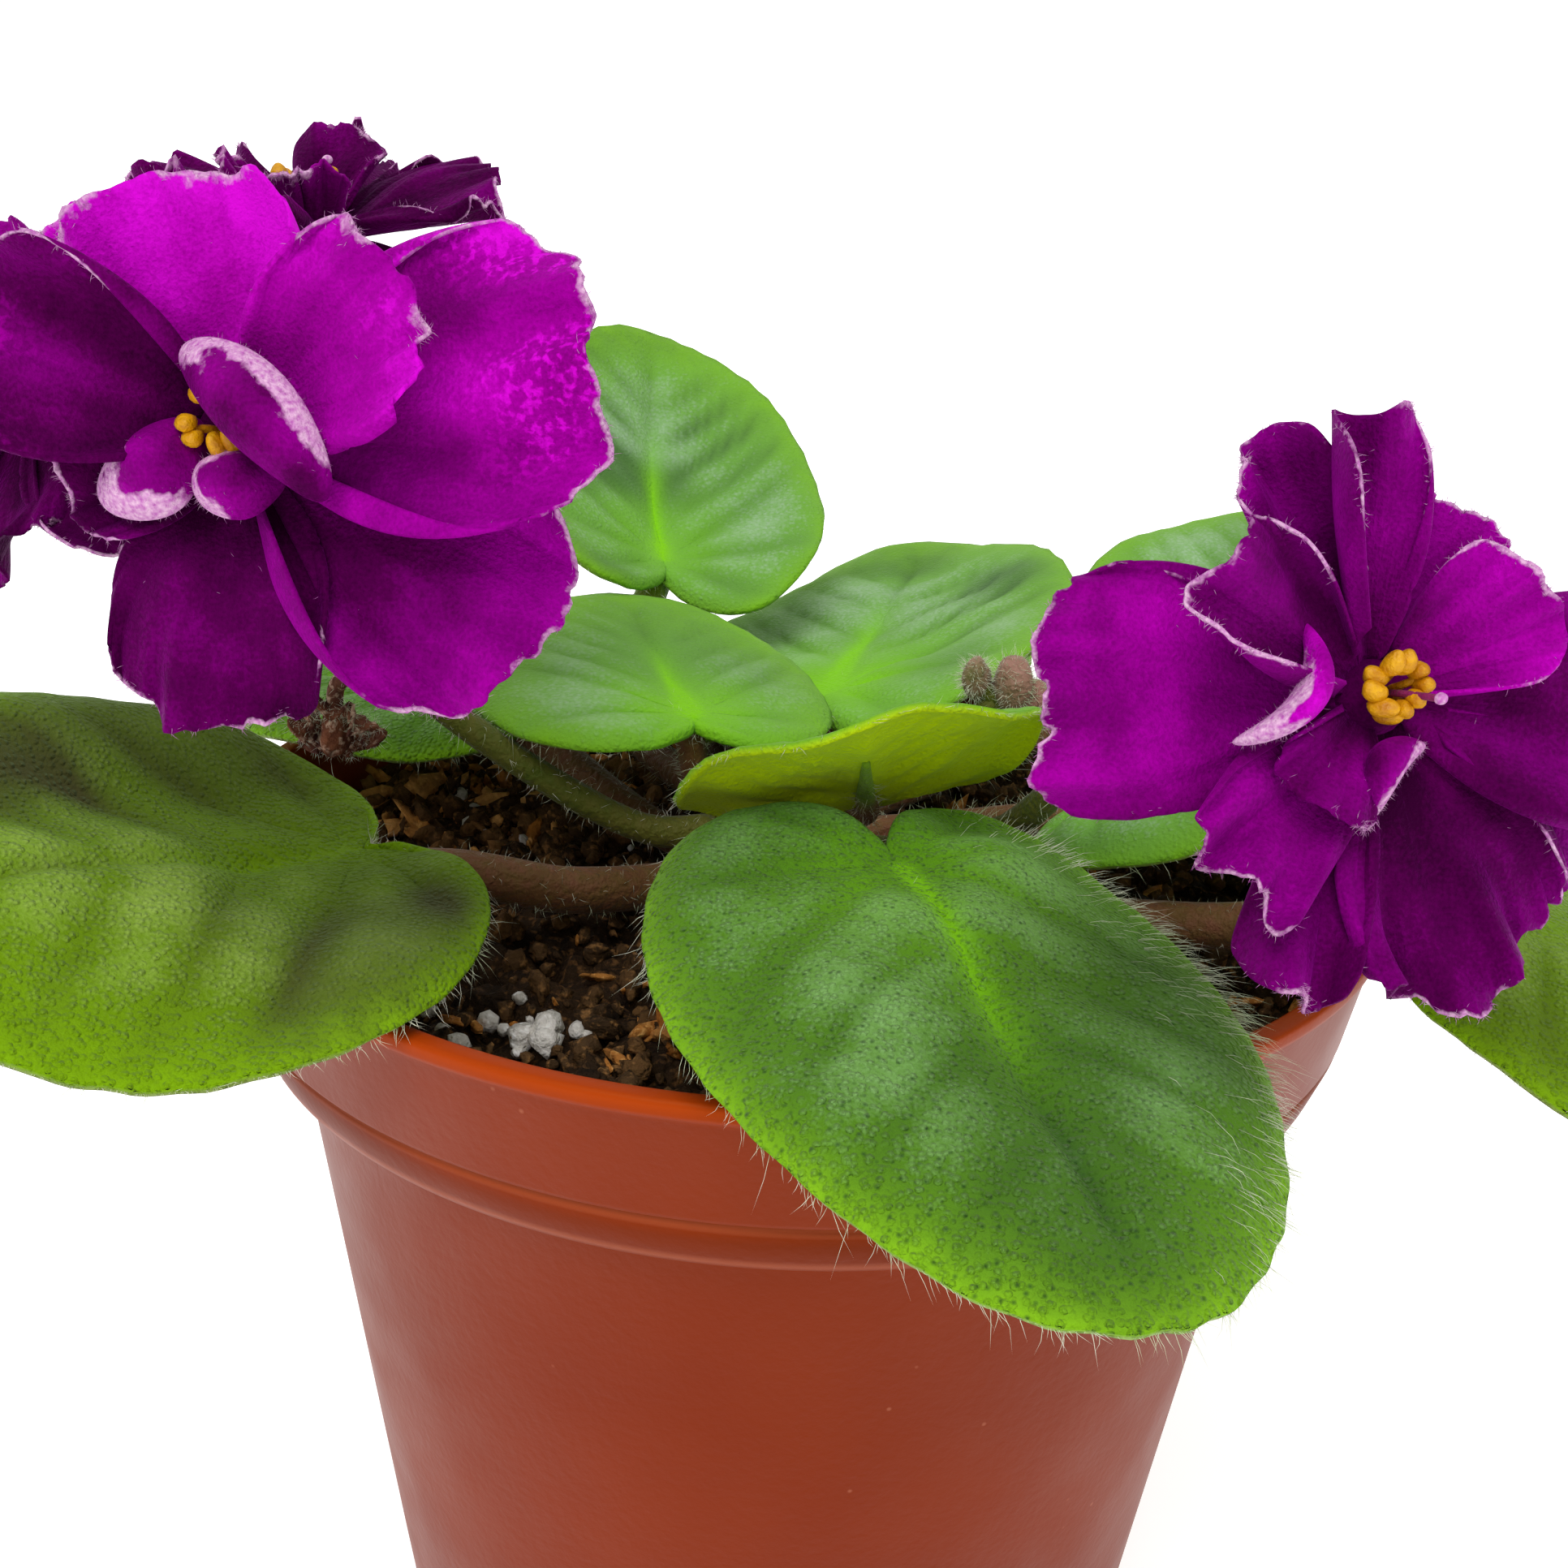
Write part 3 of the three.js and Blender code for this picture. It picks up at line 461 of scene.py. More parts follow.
def petal_material():
    g = Graph(
        "petal velvet", 0.6, Sheen_Weight=0.2, Sheen_Roughness=0.45, Sheen_Tint=(0.8, 0.02, 0.8, 1),
        Specular_IOR_Level=0.06, Specular_Tint=(1, 0.1, 1, 1),
    )
    fan = {"X": g.times(g.value("across"), 0.04), "Y": g.times(g.value("along"), 0.006)}
    streaks = g.grain(3.2, 3, g.node("ShaderNodeCombineXYZ", fan).outputs[0])
    sparkle = g.grain(0.28, 2, low=0.25, high=0.75)
    parts = ((g.grain(4.5, 4), -0.12, 0.12), (streaks, -0.02, 0.02), (sparkle, -0.08, 0.08))
    # The tone sets the purple from dark to bright; it holds both the petals' own colour and painted light.
    shine = g.stir(g.value("tone"), *parts)
    shine = g.add(shine, g.times(g.value("bulge"), g.grain(0.6, 4, low=0.48, high=0.6)))
    ramp = g.node("ShaderNodeValToRGB", {"Fac": shine})
    elements = ramp.color_ramp.elements
    for position in (0.25, 0.5, 0.75):
        elements.new(position)
    shades = ((44, 0, 36), (78, 0, 68), (118, 0, 110), (158, 1, 150), (206, 10, 202))
    for element, shade in zip(elements, shades):
        element.color = srgb(*shade)
    fuzzy = g.grain(0.35, 2, low=0.25, high=0.75)
    pale = g.stir(g.value("margin"), (g.grain(0.9, 4), -0.6, 0.15))
    pale_colour = g.blend(fuzzy, srgb(178, 92, 172), srgb(226, 190, 214))
    colour = g.blend(g.spread(pale, 0.3, 0.8), ramp.outputs["Color"], pale_colour)
    return g.finish(colour, g.bump(sparkle, 0.07, g.bump(streaks, 0.05)))


def stalk_material(name, first, second, third):
    """Stalk skin of three mixed colours, which turns green where the tone is 1."""
    g = Graph(name, 0.5, Sheen_Weight=0.1, Sheen_Roughness=0.5, Specular_IOR_Level=0.15)
    colour = g.blend(g.grain(7, 2), first, second)
    colour = g.blend(g.times(g.grain(1.1, 3), 0.6), colour, third)
    colour = g.blend(g.value("tone"), colour, srgb(112, 150, 20))
    return g.finish(colour, g.bump(g.grain(0.5, 3), 0.15))


def hair_material():
    g = Graph("plant hair", 0.5, Specular_IOR_Level=0.2)
    colour = g.blend(g.grain(5), srgb(206, 222, 176), srgb(240, 236, 222))
    return g.finish(colour)


def anther_material():
    g = Graph("anther", 0.42, Specular_IOR_Level=0.3)
    colour = g.blend(g.grain(1.0), srgb(178, 112, 2), srgb(226, 168, 4))
    return g.finish(colour, g.bump(g.grain(0.25), 0.05))


def pot_material():
    g = Graph("moulded pot plastic", 0.46, Specular_IOR_Level=0.16, Specular_Tint=(1, 0.5, 0.2, 1))
    height = g.times(g.node("ShaderNodeSeparateXYZ", {"Vector": g.place}).outputs["Z"], 1 / MM)
    colour = g.blend(g.grain(32, 3), srgb(124, 38, 0), srgb(115, 32, 0))
    # Painted shade: the band between the collar and the groove is darkened, where its upward-facing slope
    # catches light.
    above_collar = g.spread(height, COLLAR_HEIGHT - 1.7, COLLAR_HEIGHT + 0.8)
    band = g.times(above_collar, g.spread(height, GROOVE_HEIGHT - 0.5, GROOVE_HEIGHT - 1.7))
    colour = g.blend(g.times(band, 0.5), colour, srgb(96, 28, 2))
    # Painted highlight: pale thin lines along the collar step and the groove, which also lift the shade line
    # under the collar.
    for ring in (COLLAR_HEIGHT + 0.5, GROOVE_HEIGHT - 0.2):
        near = g.spread(g.maths("ABSOLUTE", g.maths("SUBTRACT", height, ring)), 0.6, 0.1)
        colour = g.blend(g.times(near, 0.35), colour, srgb(170, 90, 60))
    # Painted light: the top of the lip turns a brighter orange, for light shining through the thin plastic
    # and a highlight on its edge.
    lip = g.spread(height, POT_HEIGHT - 2.2, POT_HEIGHT - 0.5)
    colour = g.blend(g.times(lip, 0.8), colour, srgb(168, 60, 8))
    specks = g.spread(g.cells(5.5), 0.05, 0.02)
    colour = g.blend(g.times(specks, 0.25), colour, srgb(200, 130, 100))
    # Blotches of a darker brown that fade out above 30 mm.
    low_blotches = g.times(g.spread(g.grain(6, 5), 0.55, 1, 0, 0.35), g.spread(height, 30, 0))
    colour = g.blend(low_blotches, colour, srgb(80, 44, 28))
    return g.finish(colour, g.bump(g.grain(0.9, 3), 0.02), g.spread(g.grain(9, 3), 0, 1, 0.38, 0.48))


def soil_material(name, colours, depth):
    g = Graph(name, 0.9, Specular_IOR_Level=0.12)
    colour = g.blend(g.grain(2.2, 4), colours[0], colours[1])
    colour = g.blend(g.spread(g.grain(0.8, 3), 0.6, 1), colour, colours[2])
    colour = g.blend(g.value("tone"), colour, colours[2])
    normal = g.bump(g.grain(0.9, 5), depth)
    return g.finish(colour, normal, g.spread(g.grain(1.6), 0, 1, 0.95, 0.6))


# The first three colours of each leaf skin are painted light on its green: deep shade for grooves and dots,
# the valleys' shade, and the raised parts' highlight.
LEAF = leaf_material(
    "leaf green", srgb(34, 66, 28), srgb(74, 118, 22), srgb(122, 166, 94),
    srgb(112, 176, 4), srgb(128, 182, 20), srgb(138, 156, 84),
)
OLD_LEAF = leaf_material(
    "leaf olive", srgb(56, 44, 32), srgb(92, 124, 0), srgb(140, 168, 72),
    srgb(104, 140, 0), srgb(120, 164, 0), srgb(118, 130, 66), dots=0.15, dent=0.26,
)
FRESH = dict(
    dark=srgb(66, 98, 56), valley_shade=srgb(104, 156, 64), bulge=srgb(144, 176, 136), vein=srgb(124, 196, 10),
    margin=srgb(118, 176, 24), dots=0.08, dent=0.06,
)
YOUNG_LEAF = leaf_material("leaf fresh", underside=srgb(142, 168, 66), **FRESH)
# Its underside is a bright yellow-green: partly the blade's own colour, partly painted light shining through
# the thin young blade.
BACKLIT_LEAF = leaf_material("leaf backlit underside", underside=srgb(190, 216, 0), **FRESH)
PETAL = petal_material()
STALK = stalk_material("leaf stalk", srgb(98, 60, 34), srgb(122, 78, 54), srgb(92, 80, 26))
GREEN_STALK = stalk_material("flower stalk", srgb(70, 86, 14), srgb(88, 92, 24), srgb(106, 98, 40))
HAIR = hair_material()
ANTHER = anther_material()
PISTIL = stalk_material("pistil", srgb(92, 4, 60), srgb(120, 8, 80), srgb(150, 40, 100))
BUD = stalk_material("flower bud", srgb(150, 100, 92), srgb(104, 108, 56), srgb(172, 130, 118))
POT = pot_material()
PEAT = soil_material("peat", (srgb(28, 19, 11), srgb(60, 42, 24), srgb(112, 78, 44)), 0.6)
CRUMB = soil_material("peat crumb", (srgb(34, 25, 15), srgb(76, 55, 33), srgb(150, 108, 62)), 0.4)
BARK = soil_material("bark", (srgb(128, 74, 28), srgb(196, 124, 50), srgb(244, 186, 108)), 0.3)
PERLITE = soil_material("perlite", (srgb(196, 190, 180), srgb(232, 228, 220), srgb(250, 248, 244)), 0.35)
WITHERED = soil_material("withered petal", (srgb(66, 34, 34), srgb(128, 78, 52), srgb(206, 176, 150)), 0.3)


# Leaves

PLAIN_LEAF = dict(
    rise=-2, roll=0, droop=12, arch=12, fold=0, twist=0, left=1, lobe=0.34, wave=0.6, phase=0, stalk=1.7,
    via=(), skin=LEAF, fringe=220, fringe_length=0.9, long_hairs=0, steps=(96, 26), groove_shade=0.35, pillow=0.6,
    swell=0.5, scallop=0.003, veins=0.165, vein_width=1.1, glow=0.35, rim=2, patch=1, shaded_side=0,
)
LEAVES = {
    "leaf_front": dict(
        joint=[8.4, -32.3, 105], heading=-72, rise=-5, roll=-4, length=47.5, width=44, arch=17, phase=1,
        wave=0.3, root=(-62, 0), via=[[4, -20, 97]], stalk=1.9, fringe=760, fringe_length=1.2,
        long_hairs=560, steps=(200, 64), groove_shade=0.22, pillow=0.3, swell=1.2, veins=0.22, vein_width=1.5,
        rim=1.5, patch=1.6,
    ),
    "leaf_left": dict(
        joint=[-36.5, -24.8, 102], heading=225, rise=2, roll=-9, length=40, width=46, droop=-14, arch=-8,
        twist=10, lobe=0.18, wave=0.3, root=(208, 0), via=[[-20, -17, 94.6], [-29, -21, 97.6]], stalk=2.1,
        skin=OLD_LEAF, fringe=700, fringe_length=1.3, steps=(200, 60), groove_shade=0.62, pillow=0.55, swell=2.2,
        veins=0.26, vein_width=2.4, rim=3.5, patch=1.3, shaded_side=0.3,
    ),
    "leaf_right": dict(
        joint=[61, -27.4, 99.6], heading=-12, rise=-11, roll=5, length=42, width=41, droop=23, arch=23,
        root=(-18, 0), via=[[20, -15, 94], [35, -21.5, 96.2], [47, -24.5, 98.8]], stalk=2, fringe=400,
        skin=OLD_LEAF,
    ),
    "leaf_back_tall": dict(
        joint=[-16.2, 31.8, 112.3], heading=102, rise=18, roll=12, length=38, width=36.6, droop=-31,
        arch=-23, fold=0.18, root=(130, 1), via=[[-10.5, 4, 97.3], [-17, 14, 98.6], [-19, 24, 104]],
        skin=YOUNG_LEAF, groove_shade=1.0, vein_width=1.8,
    ),
    "leaf_back_low": dict(
        joint=[2.5, 13.8, 104], heading=74, rise=3, roll=-14, length=46, width=47, droop=-9, arch=-14,
        left=0.87, root=(82, 1), skin=YOUNG_LEAF, glow=0.9, rim=3, groove_shade=0.8,
    ),
    "leaf_back_right": dict(
        joint=[42.8, 28.3, 106.1], heading=58, rise=22, roll=9, length=35, width=33, droop=16, arch=2,
        root=(40, 1), via=[[18, 9, 99.5]], skin=YOUNG_LEAF,
    ),
    "leaf_young_left": dict(
        joint=[-10.2, -6.6, 107.8], heading=108, rise=6, roll=4, length=30, width=31, droop=-3, arch=8,
        wave=0, lobe=0.24, left=1.2, root=(172, 2), stalk=1.4, skin=YOUNG_LEAF, glow=0.7, rim=4,
    ),
    "leaf_young_front": dict(
        joint=[5.5, -14.5, 104], heading=-92, rise=36, roll=15, length=21, width=32, droop=-5, arch=-14,
        lobe=0.25, root=(-50, 2), stalk=1.1, skin=BACKLIT_LEAF,
    ),
    "leaf_under_bloom": dict(
        joint=[28, -7, 102.4], heading=-15, rise=30, roll=4, length=30, width=28, droop=6, arch=10,
        root=(0, 1), skin=YOUNG_LEAF,
    ),
    "leaf_rear_left": dict(
        joint=[-34, 15, 101.5], heading=154, length=39, width=31, root=(152, 0),
        via=[[-14, -2, 95], [-25, 7, 99]],
    ),
    "leaf_rear": dict(
        joint=[-17, 38.5, 101], heading=113, length=36, width=28, root=(106, 0), via=[[-7, 12, 95]],
    ),
    "leaf_rear_right": dict(
        joint=[10, 39, 101.2], heading=74, length=36, width=28, root=(66, 0), via=[[4, 12, 95]],
    ),
    "leaf_far_right": dict(
        joint=[45, 6, 101], heading=17, length=38, width=31, root=(26, 0),
        via=[[20, 0, 94.6], [34, 3, 96.4]],
    ),
}


def leaf_axes(leaf):
    """Along the midrib, across to the left, and out of the upper face."""
    h, r, t = (math.radians(leaf[key]) for key in ("heading", "rise", "roll"))
    along = np.array([math.cos(h) * math.cos(r), math.sin(h) * math.cos(r), math.sin(r)])
    level = np.array([-math.sin(h), math.cos(h), 0])
    upright = np.cross(along, level)
    return along, level * math.cos(t) + upright * math.sin(t), upright * math.cos(t) - level * math.sin(t)


def vein_pattern(leaf, x, y):
    """How far each point lies between two side veins, and how close it is to one and to the midrib."""
    spacing = leaf["veins"] * leaf["length"]
    aside = np.abs(y)
    count = (x - VEIN_SLOPE * aside - VEIN_CURVE * aside**2) / spacing
    away = np.hypot(x, y)
    angle = np.arctan2(aside, x)
    first = np.arctan2(1, VEIN_SLOPE + VEIN_CURVE * 0.8 * away)
    count = np.where(angle > first, -(angle - first) / math.radians(VEIN_FAN), count)
    off = np.abs(count - np.round(count))
    between = np.abs(np.sin(np.pi * count)) ** 0.7
    width = np.where(angle > first, away * 0.73, spacing)
    near = np.exp(-((off * width / leaf["vein_width"]) ** 2))
    ahead = smooth_step(-1, 2, x)
    share = np.clip(x / leaf["length"], 0, 1)
    midrib = ahead * np.exp(-((y / (MIDRIB_WIDTH * (1.1 - 0.75 * share))) ** 2)) * smooth_step(1, 0.75, share)
    return between, near, midrib


def blade(leaf, angle, reach, seed):
    """Points of a blade at an angle round its joint and a reach from 0, there, to 1, its edge."""
    along, across, out = leaf_axes(leaf)
    length, half_width = leaf["length"], leaf["width"] / 2
    half_length = (1 + leaf["lobe"]) / 2 * length
    centre = length - half_length
    notch = 1 - NOTCH_DEPTH * np.exp(-(((np.pi - np.abs(angle)) / NOTCH_WIDTH) ** 2))
    x = (centre + half_length * np.cos(angle)) * notch * reach
    egg = 1 - EGG * np.cos(angle)
    y = half_width * np.where(angle > 0, leaf["left"], 1) * np.sin(angle) * egg * notch * reach
    ring = np.stack([np.cos(angle), np.sin(angle), 0 * angle], -1)
    scallop = np.sin(SCALLOP_COUNT * angle + 2.5 * noise(ring, 0.4, seed)) + noise(ring, 0.25, seed + 1)
    scallop = 1 + leaf["scallop"] * scallop * reach**8
    x, y = x * scallop, y * scallop
    between, near, midrib = vein_pattern(leaf, x, y)
    fade = (1 - reach**8) * smooth_step(0, 5, np.abs(y)) * smooth_step(0, 6, np.hypot(x, y))
    midrib = midrib * smooth_step(1, 8, x)
    flat = np.stack([x, y, 0 * x], -1)
    relief = leaf["pillow"] * (between - 0.5) * fade - MIDRIB_GROOVE * midrib
    swell = noise(flat, 9, seed + 2)
    relief = relief + leaf["swell"] * swell * (1 - reach**8) + 0.14 * noise(flat, 2.2, seed + 3)
    relief = relief - 0.9 * reach**14
    bend = math.radians(leaf["droop"]) / length
    turn = bend * x
    arch = math.radians(leaf["arch"]) / half_width
    wave = leaf["wave"] * reach**3 * np.sin(5 * angle + leaf["phase"])
    twist = -leaf["twist"] * x * y / (length * half_width)
    height = (np.cos(arch * y) - 1) / arch + leaf["fold"] * np.abs(y) + wave + twist + relief
    spread = (np.sin(turn) / bend + height * np.sin(turn))[..., None] * along
    lift = ((np.cos(turn) - 1) / bend + height * np.cos(turn))[..., None] * out
    points = np.array(leaf["joint"]) + spread + lift + (np.sin(arch * y) / arch)[..., None] * across
    bright = np.exp(-((y / (0.9 + 0.04 * x)) ** 2)) * smooth_step(-1.5, 0, x)
    bright = bright * smooth_step(0.7, 0.25, x / length)
    base = np.exp(-((np.hypot(x, y) / (0.24 * length)) ** 2))
    side_veins = near * fade * smooth_step(0.6, 0.1, reach)
    # Painted shade in the tone: the side-vein grooves, the midrib groove towards the tip and one half of the
    # blade are darkened; the patches are random darker tone.
    groove_shade = leaf["groove_shade"] * near * fade * (0.6 + 0.5 * noise(flat, 12, seed + 4))
    groove_shade = groove_shade + 0.35 * midrib * smooth_step(0.35, 0.7, x / length)
    groove_shade = groove_shade + leaf["shaded_side"] * smooth_step(0, -0.7, y / half_width)
    patches = leaf["groove_shade"] * leaf["patch"] * smooth_step(0, 0.8, noise(flat, 13, seed + 6))
    # Painted light: the bulge value is higher on the pillows between the veins and on the swells, for
    # highlight there and shade in the valleys.
    bulge = 0.3 + 0.35 * (between - 0.4) * fade + 0.55 * swell + 0.2 * (1 - near)
    rim = leaf["rim"] * (1 + 0.6 * noise(flat, 14, seed + 5))
    values = {
        "vein": np.clip(0.85 * bright + leaf["glow"] * base + 0.3 * side_veins, 0, 1),
        "bulge": np.clip(bulge, 0, 1) * smooth_step(1.02, 0.7, reach),
        "margin": np.exp(-(1 - reach) * half_width / rim),
        "tone": np.clip(groove_shade + patches, 0, 1),
    }
    return points, values


def leaf_stalk(leaf, joint_under):
    """A tube from the leaf's seat at the crown to the last of the points under its blade."""
    bearing = math.radians(leaf["root"][0])
    away = np.array([math.cos(bearing), math.sin(bearing), 0])
    root = CROWN + away * (CROWN_RADIUS + CLEARANCE) + [0, 0, ROOT_TIERS[leaf["root"][1]]]
    route = [root, root + 1.5 * away, *[np.array(p, float) for p in leaf["via"]], *joint_under]
    centres, total = curve_through(route, STALK_STEPS)
    under = STALK_UNDER * leaf["length"]
    beyond = np.clip((np.linspace(0, total, STALK_STEPS) - (total - under)) / under, 0, 1)
    radii = leaf["stalk"] + (STALK_TIP - leaf["stalk"]) * beyond
    radii = radii * (1 + 0.05 * noise(centres, 4, 3))
    radii[0] *= 1.15
    return tube(centres, radii, STALK_SIDES)


def fuzz(piece, points, faces, count, length, radius=HAIR_RADIUS, weight=None, material=None, **values):
    """Short hairs all over a surface."""
    spots, normals = scatter(points, faces, count, weight)
    directions = unit(0.9 * normals + 0.35 * rng.normal(size=(count, 3)))
    lean = 0.3 * rng.normal(size=(count, 3)) + [0, 0, -0.1]
    lengths = length * rng.uniform(0.6, 1.4, count)
    piece.add(*strands(spots - 0.1 * normals, directions, lengths, radius, lean), material or HAIR, **values)


def add_fuzzy(piece, shape, material, hairs, length, radius=HAIR_RADIUS, **values):
    """A shape with short hairs all over it."""
    piece.add(*shape, material, **values)
    fuzz(piece, *shape, hairs, length, radius)


def add_combed_hairs(piece, points, faces, weight, middle, count):
    """Long hairs on a blade's upper face that lie towards its edge."""
    spots, normals = scatter(points, faces, count, weight)
    directions = unit(unit(spots - middle) + 0.55 * normals + 0.12 * rng.normal(size=spots.shape))
    lean = 0.1 * rng.normal(size=spots.shape) - 0.25 * normals + [0, 0, -0.1]
    lengths = 2.8 * rng.gamma(12, 1 / 12, count)
    piece.add(*strands(spots - 0.05 * normals, directions, lengths, HAIR_RADIUS, lean), HAIR)


def add_fringe(piece, leaf, inner_ring, edge_ring):
    """Hairs that stand out all round a blade's edge."""
    count = leaf["fringe"]
    chosen = rng.integers(0, len(edge_ring), count)
    edge, after = edge_ring[chosen], np.roll(edge_ring, -1, axis=0)[chosen]
    edge = edge + (after - edge) * rng.uniform(0, 1, (count, 1))
    outward = unit(edge - inner_ring[chosen])
    directions = unit(outward + 0.35 * rng.normal(size=edge.shape))
    lean = 0.25 * rng.normal(size=edge.shape) + [0, 0, -0.12]
    lengths = leaf["fringe_length"] * rng.gamma(4, 1 / 4, count)
    piece.add(*strands(edge - 0.1 * outward, directions, lengths, HAIR_RADIUS, lean), HAIR)


def make_leaf(name, given, seed):
    leaf = {**PLAIN_LEAF, **given}
    piece = Piece(name)
    around, rings = leaf["steps"]
    even = np.arange(around) * 2 * np.pi / around - np.pi
    angle, reach = np.meshgrid(even + 0.35 * np.sin(even), np.linspace(0, 1, rings + 1)[1:] ** 0.85)
    points, values = blade(leaf, angle, reach, seed)
    middle = blade(leaf, np.zeros(1), np.zeros(1), seed)[0]
    face = np.concatenate([middle, points.reshape(-1, 3)])
    here = np.arange(around)
    cap = np.stack([np.zeros(around, int), 1 + here, 1 + np.roll(here, -1)], 1)
    faces = np.concatenate([cap, ring_faces(rings, around)[:, ::-1] + 1])
    reaches = np.concatenate([[0], reach.ravel()])
    thickness = BLADE_THICKNESS + (BLADE_EDGE - BLADE_THICKNESS) * reaches**2
    skin, skin_faces = thicken(face, faces, 1 + (rings - 1) * around + here, thickness)
    at_joint = {"vein": 1.0, "bulge": 0.2, "margin": 0.0, "tone": 0.0}
    values = {key: np.concatenate([[at_joint[key]], value.ravel()]) for key, value in values.items()}
    both = {key: np.tile(value, 2) for key, value in values.items()}
    piece.add(skin, skin_faces, leaf["skin"], under=np.repeat([0.0, 1.0], len(face)), **both)

    _, across, out = leaf_axes(leaf)
    under = []
    for share in (0, 0.15, 0.3, STALK_UNDER):
        radius = leaf["stalk"] + (STALK_TIP - leaf["stalk"]) * share / STALK_UNDER
        under.append(blade(leaf, np.zeros(1), np.full(1, share), seed)[0][0] - out * (0.4 + 0.75 * radius))
    stem = leaf_stalk(leaf, under)
    share = np.linspace(0, 1, STALK_STEPS)
    fresh = np.repeat(smooth_step(0.45, 0.66, share), STALK_SIDES)
    shown = np.repeat(smooth_step(0.8, 0.5, share), STALK_SIDES)
    piece.add(*stem, STALK, tone=np.concatenate([fresh, [0, 1]]))
    fuzz(piece, *stem, 330, 1.0, weight=np.concatenate([shown, [1, 0]]))

    if leaf["long_hairs"]:
        aside = (face - middle) @ across / (leaf["width"] / 2)
        weight = values["margin"] ** 0.5 * smooth_step(0.2, 0.8, aside)
        add_combed_hairs(piece, skin[: len(face)], faces, weight, middle, leaf["long_hairs"])
    add_fringe(piece, leaf, points[-3], points[-1])
    return piece.make("leaf", name)


# Flowers

OUTER = dict(
    spread=36, curl=-6, cup=0.06, ruffle=1.3, waves=5.5, phase=0, lift=0.3, tone=0.4, pale=0.15, frill=1.2,
    mottle=0, full=0.35,
)
INNER = dict(
    spread=34, curl=-10, cup=0.1, ruffle=0.8, waves=4, phase=1, lift=0.6, tone=0.5, pale=0.7, frill=0.7,
    mottle=0, full=0,
)


def outer(turn, length, tilt, **changes):
    """A petal of the outer layers. Its turn and tilt are in degrees."""
    return {**OUTER, "turn": turn, "length": length, "tilt": tilt, **changes}


def inner(turn, length, tilt, **changes):
    """A petal of the small ones near the throat."""
    return {**INNER, "turn": turn, "length": length, "tilt": tilt, **changes}


